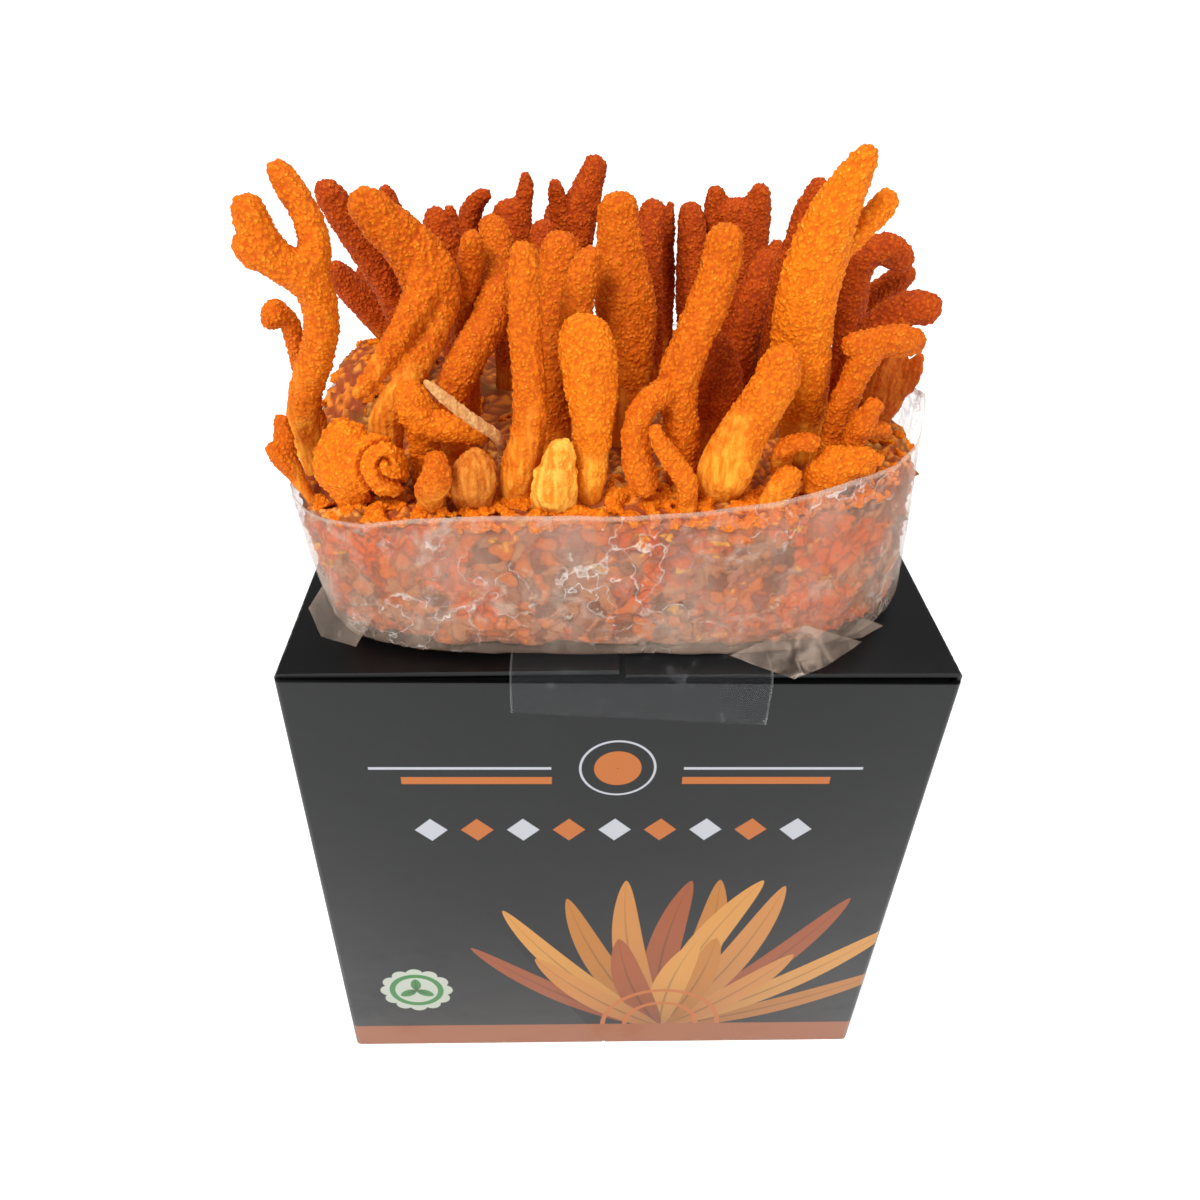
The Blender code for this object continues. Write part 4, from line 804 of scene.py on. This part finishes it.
STEM_LOOKS = {
    "hooked_club": StemLook(bare=12.0, change=15.0, ridges=0.4, tone=0.5),
    "tall_front_club": StemLook(bare=5.0, change=12.0, ridges=0.2, tone=0.45),
    "front_column": StemLook(bare=0.0, change=14.0, ridges=0.15, tone=0.1),
    "collared_club": StemLook(bare=-4.0, change=6.0, lumps=0.6, tone=0.45),
    "flared_club": StemLook(bare=4.0, change=14.0, ridges=0.15),
    "big_right_club": StemLook(bare=0.0, change=12.0, ridges=0.12, tone=0.0),
    "antler_club": StemLook(bare=2.0, change=22.0, ridges=0.12, tone=0.35),
    "fibrous_barrel": StemLook(bare=0.0, change=4.0, lumps=0.5, ridges=0.75, fertile_most=0.3, tone=0.9),
    "pale_bulge": StemLook(bare=0.0, change=5.0, lumps=0.95, ridges=0.8, fertile_most=0.3, tone=0.1),
    "dry_straw": StemLook(lumps=0.15, warts=0.2, ridges=0.2, fertile_most=0.5, voxel=0.24, tone=0.0),
    "broad_pale_stem": StemLook(lumps=0.8, ridges=0.7, fertile_most=0.35, tone=0.7),
    "leaning_club": StemLook(bare=6.0, change=14.0, lumps=0.3, tone=0.3),
    "curled_finger": StemLook(bare=-2.0, change=4.0, tone=0.25),
    "short_stub": StemLook(bare=1.0, change=6.0, ridges=0.3, tone=0.2),
    "folded_lump": StemLook(bare=-4.0, change=3.0, lumps=0.9, tone=0.05, coil_at=(-39.4, -54.3, 161.1), coil=1.3),
    "curled_tube": StemLook(bare=-2.0, change=6.0, lumps=0.7, tone=0.2),
    "low_fan": StemLook(bare=-2.0, change=5.0, lumps=0.6, tone=0.2),
}


@dataclass
class FruitingBodies:
    """All the clubs, each grown from its own CAD solid."""

    smooth_levels: int = 2
    smooth_rounds: int = 4

    def build(self, growth: bpy.types.NodeTree, finishes: dict[str, bpy.types.Material]) -> None:
        """Grows every club.

        Args:
            growth: The geometry node group for the skin.
            finishes: The material for each of the record's flesh slots.
        """
        for part in frame["record"]["subparts"]:
            if part["material_slot"] in finishes:
                piece = self.grow(part["node"], growth)
                settle(piece, part["material_slot"], finishes[part["material_slot"]], part["node"])

    def grow(self, node: str, growth: bpy.types.NodeTree) -> bpy.types.Object:
        """Grows one club from its CAD solid.

        Args:
            node: The CAD node.
            growth: The geometry node group for the skin.

        Returns:
            The club, with its skin but no material yet.
        """
        look = STEM_LOOKS.get(node, StemLook())
        piece = copy_of(node, node + "_flesh")
        edit_all(piece, bpy.ops.mesh.tris_convert_to_quads)
        refine(piece, "SUBSURF", levels=self.smooth_levels)
        refine(piece, "REMESH", mode="VOXEL", voxel_size=look.voxel * MM)
        refine(piece, "SMOOTH", factor=0.5, iterations=self.smooth_rounds)
        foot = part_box(node)[0].z / MM
        grow_with(
            piece, growth, Foot=foot, Bare=look.bare, Change=look.change, Lumps=look.lumps, Warts=look.warts,
            Fertile_most=look.fertile_most, Ridges=look.ridges, Tone=look.tone, Coil_at=look.coil_at, Coil=look.coil,
        )
        piece.data.shade_smooth()
        return piece


@dataclass
class GrainBlock:
    """The block in the bag, and the young growth on its top."""

    levels: int = 3
    seen_front: float = -0.034
    seen_left: float = -0.03
    lump: float = 1.0
    voxel: float = 0.46
    rim_lumps: dict = field(default_factory=lambda: {"Spacing": 1.1, "Density": 0.5, "Least": 0.4, "Most": 2.0})

    def build(self, growth: bpy.types.NodeTree, scatter: bpy.types.NodeTree, grain: bpy.types.Material,
              crust: bpy.types.Material, flesh: bpy.types.Material) -> None:
        """Builds the block and its growth.

        Args:
            growth: The geometry node group for warty skin.
            scatter: The geometry node group that scatters knobs.
            grain: The finish of the block's sides.
            crust: The finish of its top.
            flesh: The finish of the young growth.
        """
        block = copy_of("substrate_block", "grain_block")
        edit_all(block, bpy.ops.mesh.tris_convert_to_quads)
        refine(block, "SUBSURF", levels=self.levels)
        young = self.scatter_lumps(block, growth, scatter)
        top = [face.normal.z > 0.35 for face in block.data.polygons]
        seen = [face.center.y < self.seen_front or face.center.x < self.seen_left for face in block.data.polygons]
        block.data.materials.append(grain)
        block.data.materials.append(crust)
        block.data.polygons.foreach_set("material_index", np.array(top, dtype=np.int32))
        edit_all(block, lambda: bpy.ops.mesh.select_all(action="DESELECT"))
        bpy.context.tool_settings.mesh_select_mode = (False, False, True)
        block.data.polygons.foreach_set("select", np.array(top) & np.array(seen))
        pick(block)
        bpy.ops.object.mode_set(mode="EDIT")
        bpy.ops.mesh.subdivide(number_cuts=1)
        bpy.ops.object.mode_set(mode="OBJECT")
        bpy.context.tool_settings.mesh_select_mode = (True, False, False)
        grow_with(block, growth, Foot=-50.0, Lumps=2.2, Warts=0.5, Wart_size=1.5, Flare=0.0)
        block.data.shade_smooth()
        marks = np.zeros(len(block.data.polygons), dtype=np.int32)
        block.data.polygons.foreach_get("material_index", marks)
        settle(block, "grain_block", grain, "substrate_block")
        block.data.materials.append(crust)
        block.data.polygons.foreach_set("material_index", marks)
        settle(young, "club_bright", flesh)

    def scatter_lumps(self, block: bpy.types.Object, growth: bpy.types.NodeTree, scatter: bpy.types.NodeTree) -> bpy.types.Object:
        """Makes the young growth as one piece of merged lumps.

        Args:
            block: The smooth block.
            growth: The geometry node group for warty skin.
            scatter: The geometry node group that scatters lumps.

        Returns:
            The piece, with no material yet.
        """
        bpy.ops.object.select_all(action="DESELECT")
        bpy.ops.mesh.primitive_ico_sphere_add(subdivisions=2, radius=self.lump * MM)
        lump = bpy.context.object
        young = bpy.data.objects.new("young_growth", block.data.copy())
        bpy.context.scene.collection.objects.link(young)
        grow_with(young, scatter, Lump=lump, Seed=4, **self.rim_lumps)
        bpy.data.objects.remove(lump, do_unlink=True)
        refine(young, "REMESH", mode="VOXEL", voxel_size=self.voxel * MM)
        refine(young, "SMOOTH", factor=0.5, iterations=2)
        grow_with(young, growth, Foot=0.0, Bare=-20.0, Lumps=0.9, Warts=0.5, Flare=0.0, Swell=0.1)
        young.data.shade_smooth()
        return young


@dataclass
class GrowBag:
    """The opened bag, as one lofted sheet of film. Its plan and heights are the CAD part's, in mm above the lid's front fold."""

    lid: float = 122.0
    front: float = -63.5
    middle_d: float = 52.0
    lean: tuple = ((3.0, 0.6), (20.0, -1.2), (45.0, -3.2))
    half: tuple = (58.6, 48.0)
    left_squareness: float = 5.0
    right_squareness: float = 3.5
    girth: tuple = ((3.0, 0.972), (6.5, 0.988), (12.0, 0.996), (20.0, 1.0), (30.0, 1.0), (45.0, 1.0))
    floor: float = 3.6
    offset: float = 0.85
    around: int = 420
    upward: int = 56
    rim: tuple = (
        (0.0, 40.0), (12.0, 36.0), (30.0, 33.6), (60.0, 32.6), (90.0, 31.6), (115.0, 29.8), (135.0, 28.8),
        (160.0, 29.2), (180.0, 30.2), (205.0, 30.2), (225.0, 30.0), (244.0, 30.6), (256.0, 32.6), (270.0, 33.8),
        (285.0, 36.6), (300.0, 39.0), (316.0, 39.6), (334.0, 42.4), (346.0, 44.6), (360.0, 40.0),
    )

    flaps: tuple = (
        ((-50.5, 8.5, 21.5), (-53.6, 8.6, 16.4), (-57.4, 8.4, 10.6), (-55.0, 5.2, 6.6), (-48.6, 3.6, 5.4), (-44.5, 4.6, 12.0)),
        ((20.0, 4.0, 3.6), (25.7, 2.0, 2.4), (31.6, -0.2, 1.4), (37.5, 1.6, 3.0), (44.5, 4.6, 6.4), (33.0, 4.4, 10.5)),
        ((44.0, 6.0, 11.0), (48.6, 7.4, 8.2), (45.2, 6.6, 6.2), (40.2, 4.6, 6.4)),
    )

    def mark_edge(self, piece: bpy.types.Object, first: int, last: int) -> None:
        """Notes which points, from first to before last, lie on a cut edge of the film."""
        noted = piece.data.attributes.new("edge", "FLOAT", "POINT")
        marks = np.zeros(len(piece.data.vertices), dtype=np.float32)
        marks[first:last] = 1.0
        noted.data.foreach_set("value", marks)

    def add_flap(self, bag: bpy.types.Object, name: str, outline: tuple) -> None:
        """Joins a small folded corner of film to the bag.

        Args:
            bag: The bag.
            name: The corner's name while it's made.
            outline: Its outline as (x, d, z) points.
        """
        ring = [Vector(point) for point in outline]
        middle = sum(ring, Vector()) / len(ring) + Vector((0.0, -1.4, 0.0))
        points = [(x * MM, (d + self.front) * MM, (z + self.lid) * MM) for x, d, z in [middle, *ring]]
        faces = [(0, 1 + i, 1 + (i + 1) % len(ring)) for i in range(len(ring))]
        flap = new_piece(name, points, faces)
        self.mark_edge(flap, 0, 0)
        refine(flap, "SUBSURF", levels=4, subdivision_type="SIMPLE")
        pick(bag, flap)
        bpy.ops.object.join()

    def plan(self, angle: float, scale: float, z: float, offset: float) -> tuple[float, float]:
        """A point (x, d) of the plan at height z."""
        cosine = math.cos(angle)
        sine = math.sin(angle)
        power = 2.0 / (self.left_squareness if cosine < 0 else self.right_squareness)
        x = (self.half[0] * scale + offset) * math.copysign(abs(cosine) ** power, cosine)
        d = (self.half[1] * scale + offset) * math.copysign(abs(sine) ** power, sine)
        return self.read(self.lean, z) + x, self.middle_d + d

    @staticmethod
    def read(profile: tuple, at: float) -> float:
        """The value of a profile of (place, value) pairs, between its pairs."""
        return float(np.interp(at, [pair[0] for pair in profile], [pair[1] for pair in profile]))

    def angles(self) -> list[float]:
        """Angles whose points stand about evenly along the plan."""
        fine = [2.0 * math.pi * i / 3600 for i in range(3601)]
        points = np.array([self.plan(angle, 1.0, 20.0, 0.0) for angle in fine])
        run = np.concatenate(([0.0], np.cumsum(np.linalg.norm(np.diff(points, axis=0), axis=1))))
        return [float(np.interp(run[-1] * i / self.around, run, fine)) for i in range(self.around)]

    def build(self, crumple: bpy.types.NodeTree, film: bpy.types.Material) -> None:
        """Builds the bag.

        Args:
            crumple: The geometry node group for wrinkles.
            film: The finish.
        """
        rows = []
        angles = self.angles()
        for i in range(4):
            scale = 0.55 + 0.4 * i / 3
            rows.append([(*self.plan(angle, scale, self.floor, 0.0), self.floor) for angle in angles])
        for k in range(self.upward + 1):
            row = []
            for angle in angles:
                rim = self.read(self.rim, math.degrees(angle) % 360.0)
                z = self.floor + (rim - self.floor) * k / self.upward
                row.append((*self.plan(angle, self.read(self.girth, z), z, self.offset), z))
            rows.append(row)
        points = [(x * MM, (d + self.front) * MM, (z + self.lid) * MM) for row in rows for x, d, z in row]
        count = self.around
        faces = []
        for r in range(len(rows) - 1):
            for i in range(count):
                j = (i + 1) % count
                faces.append((r * count + i, r * count + j, (r + 1) * count + j, (r + 1) * count + i))
        faces.append(tuple(reversed(range(count))))
        bag = new_piece("film_bag", points, faces)
        self.mark_edge(bag, len(points) - 2 * count, len(points))
        for i, outline in enumerate(self.flaps):
            self.add_flap(bag, f"film_flap_{i}", outline)
        grow_with(bag, crumple)
        refine(bag, "SOLIDIFY", thickness=0.12 * MM, offset=0.0)
        bag.data.shade_smooth()
        settle(bag, "bag_film", film, "grow_bag")


def make_crumple() -> bpy.types.NodeTree:
    """Geometry nodes that wrinkle the film and note its creases."""
    wires, given, result = open_group(
        "film_crumple", "GeometryNodeTree", {"Geometry": (GEOMETRY, None)}, {"Geometry": GEOMETRY},
    )
    place = wires.scale(wires.add("GeometryNodeInputPosition").outputs[0], 1.0 / MM)
    normal = wires.add("GeometryNodeInputNormal").outputs[0]
    long = wires.vector("MULTIPLY", place, (1.0, 1.0, 0.5))
    swell = wires.math("SUBTRACT", wires.noise(long, 9.0, 2.0, 0.5), 0.5)
    bent = wires.add("ShaderNodeTexNoise", {"Vector": place, "Scale": 0.09, "Detail": 2.0})
    turned = wires.vector("ADD", long, wires.scale(bent.outputs["Color"], 14.0))
    facets = wires.cells(turned, 9.0, "DISTANCE_TO_EDGE")
    crease = wires.ramp(facets.outputs["Distance"], 0.0, 0.07, (1.0, 0.0))
    broken = wires.ramp(wires.noise(place, 12.0, 2.0, 0.5), 0.45, 0.6)
    crease = wires.math("MULTIPLY", crease, broken)
    lift = wires.math("ADD", wires.math("MULTIPLY", swell, 1.5), wires.math("MULTIPLY", crease, 0.3))
    offset = wires.scale(wires.scale(normal, lift), MM)
    node = wires.add("GeometryNodeStoreNamedAttribute", {"Geometry": given["Geometry"], "Name": "crease"}, data_type="FLOAT")
    wires.feed(node.inputs["Value"], crease)
    moved = wires.add("GeometryNodeSetPosition", {"Geometry": node.outputs[0], "Offset": offset})
    wires.feed(result.inputs["Geometry"], moved.outputs[0])
    return wires.tree


@dataclass
class Carton:
    """The folded carton and its tape."""

    fold: float = 0.35

    def build(self, board: bpy.types.Material, tape: bpy.types.Material) -> None:
        """Builds the carton and the tape.

        Args:
            board: The finish of the board.
            tape: The finish of the tape.
        """
        box = copy_of("carton", "folded_carton")
        edit_all(box, lambda: bpy.ops.mesh.dissolve_limited(angle_limit=math.radians(1.0)))
        refine(box, "BEVEL", width=self.fold * MM, segments=3, limit_method="ANGLE", angle_limit=math.radians(40.0))
        box.data.shade_smooth()
        box.data.set_sharp_from_angle(angle=math.radians(35.0))
        settle(box, "carton_board", board, "carton")
        strip = copy_of("tape", "tape_strip")
        edit_all(strip, lambda: bpy.ops.mesh.dissolve_limited(angle_limit=math.radians(1.0)))
        strip.data.shade_smooth()
        strip.data.set_sharp_from_angle(angle=math.radians(35.0))
        settle(strip, "clear_tape", tape, "tape")


@dataclass
class Studio:
    """The camera, the lights and the floor."""

    place: tuple = (-0.0104, -0.1957, 0.2362)
    pitch: float = 0.624
    yaw: float = 0.044
    roll: float = 0.032
    lens: float = 28.458
    glow: tuple = (0.4, 0.8)
    glow_from: float = 120.0
    glow_to: float = 900.0

    def build(self) -> None:
        """Builds the studio."""
        self.set_camera()
        self.set_lights()
        self.lay_floor()

    def set_camera(self) -> None:
        """Places the camera."""
        ahead = Vector((math.sin(self.yaw) * math.cos(self.pitch), math.cos(self.yaw) * math.cos(self.pitch), -math.sin(self.pitch)))
        level = Vector((math.cos(self.yaw), -math.sin(self.yaw), 0.0))
        upright = level.cross(ahead)
        right = level * math.cos(self.roll) + upright * math.sin(self.roll)
        up = upright * math.cos(self.roll) - level * math.sin(self.roll)
        data = bpy.data.cameras.new("camera")
        data.lens = self.lens
        data.sensor_width = 36.0
        data.clip_start = 0.01
        camera = bpy.data.objects.new("camera", data)
        camera.matrix_world = Matrix.Translation(self.place) @ Matrix((right, up, -ahead)).transposed().to_4x4()
        bpy.context.scene.collection.objects.link(camera)
        bpy.context.scene.camera = camera

    def add_light(self, name: str, place: tuple, aim: tuple, size: float, power: float) -> None:
        """Adds one soft light.

        Args:
            name: Its name.
            place: Where it stands.
            aim: What it shines at.
            size: Its side in metres.
            power: Its power in watts.
        """
        data = bpy.data.lights.new(name, "AREA")
        data.shape = "SQUARE"
        data.size = size
        data.energy = power
        light = bpy.data.objects.new(name, data)
        light.location = place
        light.rotation_euler = (Vector(aim) - Vector(place)).to_track_quat("-Z", "Y").to_euler()
        bpy.context.scene.collection.objects.link(light)

    def set_lights(self) -> None:
        """Places the lights and the pale surroundings."""
        self.add_light("key", (-0.35, -0.55, 0.8), (0.0, 0.0, 0.14), 0.35, 8.0)
        self.add_light("fill", (0.65, -0.3, 0.55), (0.0, 0.0, 0.12), 0.5, 2.2)
        self.add_light("top", (0.05, 0.2, 0.95), (0.0, 0.0, 0.1), 0.5, 3.0)
        world = bpy.data.worlds.new("surroundings")
        world.use_nodes = True
        background = world.node_tree.nodes["Background"]
        background.inputs[0].default_value = (1.0, 1.0, 1.0, 1.0)
        background.inputs[1].default_value = 0.32
        bpy.context.scene.world = world
        bpy.context.scene.view_settings.view_transform = "Standard"

    def lay_floor(self) -> None:
        """Lays the pale floor."""
        bpy.ops.object.select_all(action="DESELECT")
        bpy.ops.mesh.primitive_plane_add(size=30.0, location=(0.0, 0.0, 0.0))
        floor = bpy.context.object
        floor.name = "floor"
        material, wires, shader, place = start_material("pale_floor")
        away = wires.add("ShaderNodeVectorMath", {0: place}, operation="LENGTH").outputs["Value"]
        shader.inputs["Base Color"].default_value = (0.9, 0.9, 0.9, 1.0)
        shader.inputs["Roughness"].default_value = 0.9
        shader.inputs["Emission Color"].default_value = (1.0, 1.0, 1.0, 1.0)
        wires.feed(shader.inputs["Emission Strength"], wires.ramp(away, self.glow_from, self.glow_to, self.glow))
        floor.data.materials.append(material)


def make_flesh_finishes() -> dict[str, bpy.types.Material]:
    """The finish for each of the record's flesh slots."""
    velvet = make_velvet_group()
    bright = FleshFinish(
        "bright_flesh", linear(186, 74, 2), linear(236, 124, 8), linear(255, 176, 50), linear(252, 176, 56),
        linear(226, 120, 12),
    )
    deep = FleshFinish(
        "deep_flesh", linear(146, 48, 2), linear(204, 86, 4), linear(238, 136, 30), linear(232, 146, 44),
        linear(196, 90, 10),
    )
    pale = FleshFinish(
        "pale_flesh", linear(170, 84, 10), linear(240, 146, 22), linear(255, 208, 96), linear(254, 196, 84),
        linear(220, 130, 30),
    )
    straw = FleshFinish(
        "dry_flesh", linear(140, 84, 40), linear(204, 142, 84), linear(240, 200, 146), linear(226, 176, 116),
        linear(178, 118, 66),
    )
    slots = {"club_bright": bright, "club_deep": deep, "club_pale": pale, "dry_straw": straw}
    return {slot: finish.make(velvet) for slot, finish in slots.items()}


def main() -> None:
    """Builds the scene."""
    logging.basicConfig(level=logging.INFO, format="%(message)s")
    Studio().build()
    flesh = make_flesh_finishes()
    growth = make_skin_growth()
    wear = make_wear_group()
    black = BoardFinish(
        "black_board", linear(18, 19, 20), linear(150, 142, 130), (0.0, 0.0, 61.5), (63.5, 63.5, 61.5),
    )
    Carton().build(black.make(wear, make_motif_groups()), TapeFinish().make())
    GrainBlock().build(growth, make_young_growth(), GrainFinish().make(), CrustFinish().make(), flesh["club_bright"])
    GrowBag().build(make_crumple(), FilmFinish().make())
    FruitingBodies().build(growth, flesh)


if __name__ == "__main__":
    main()
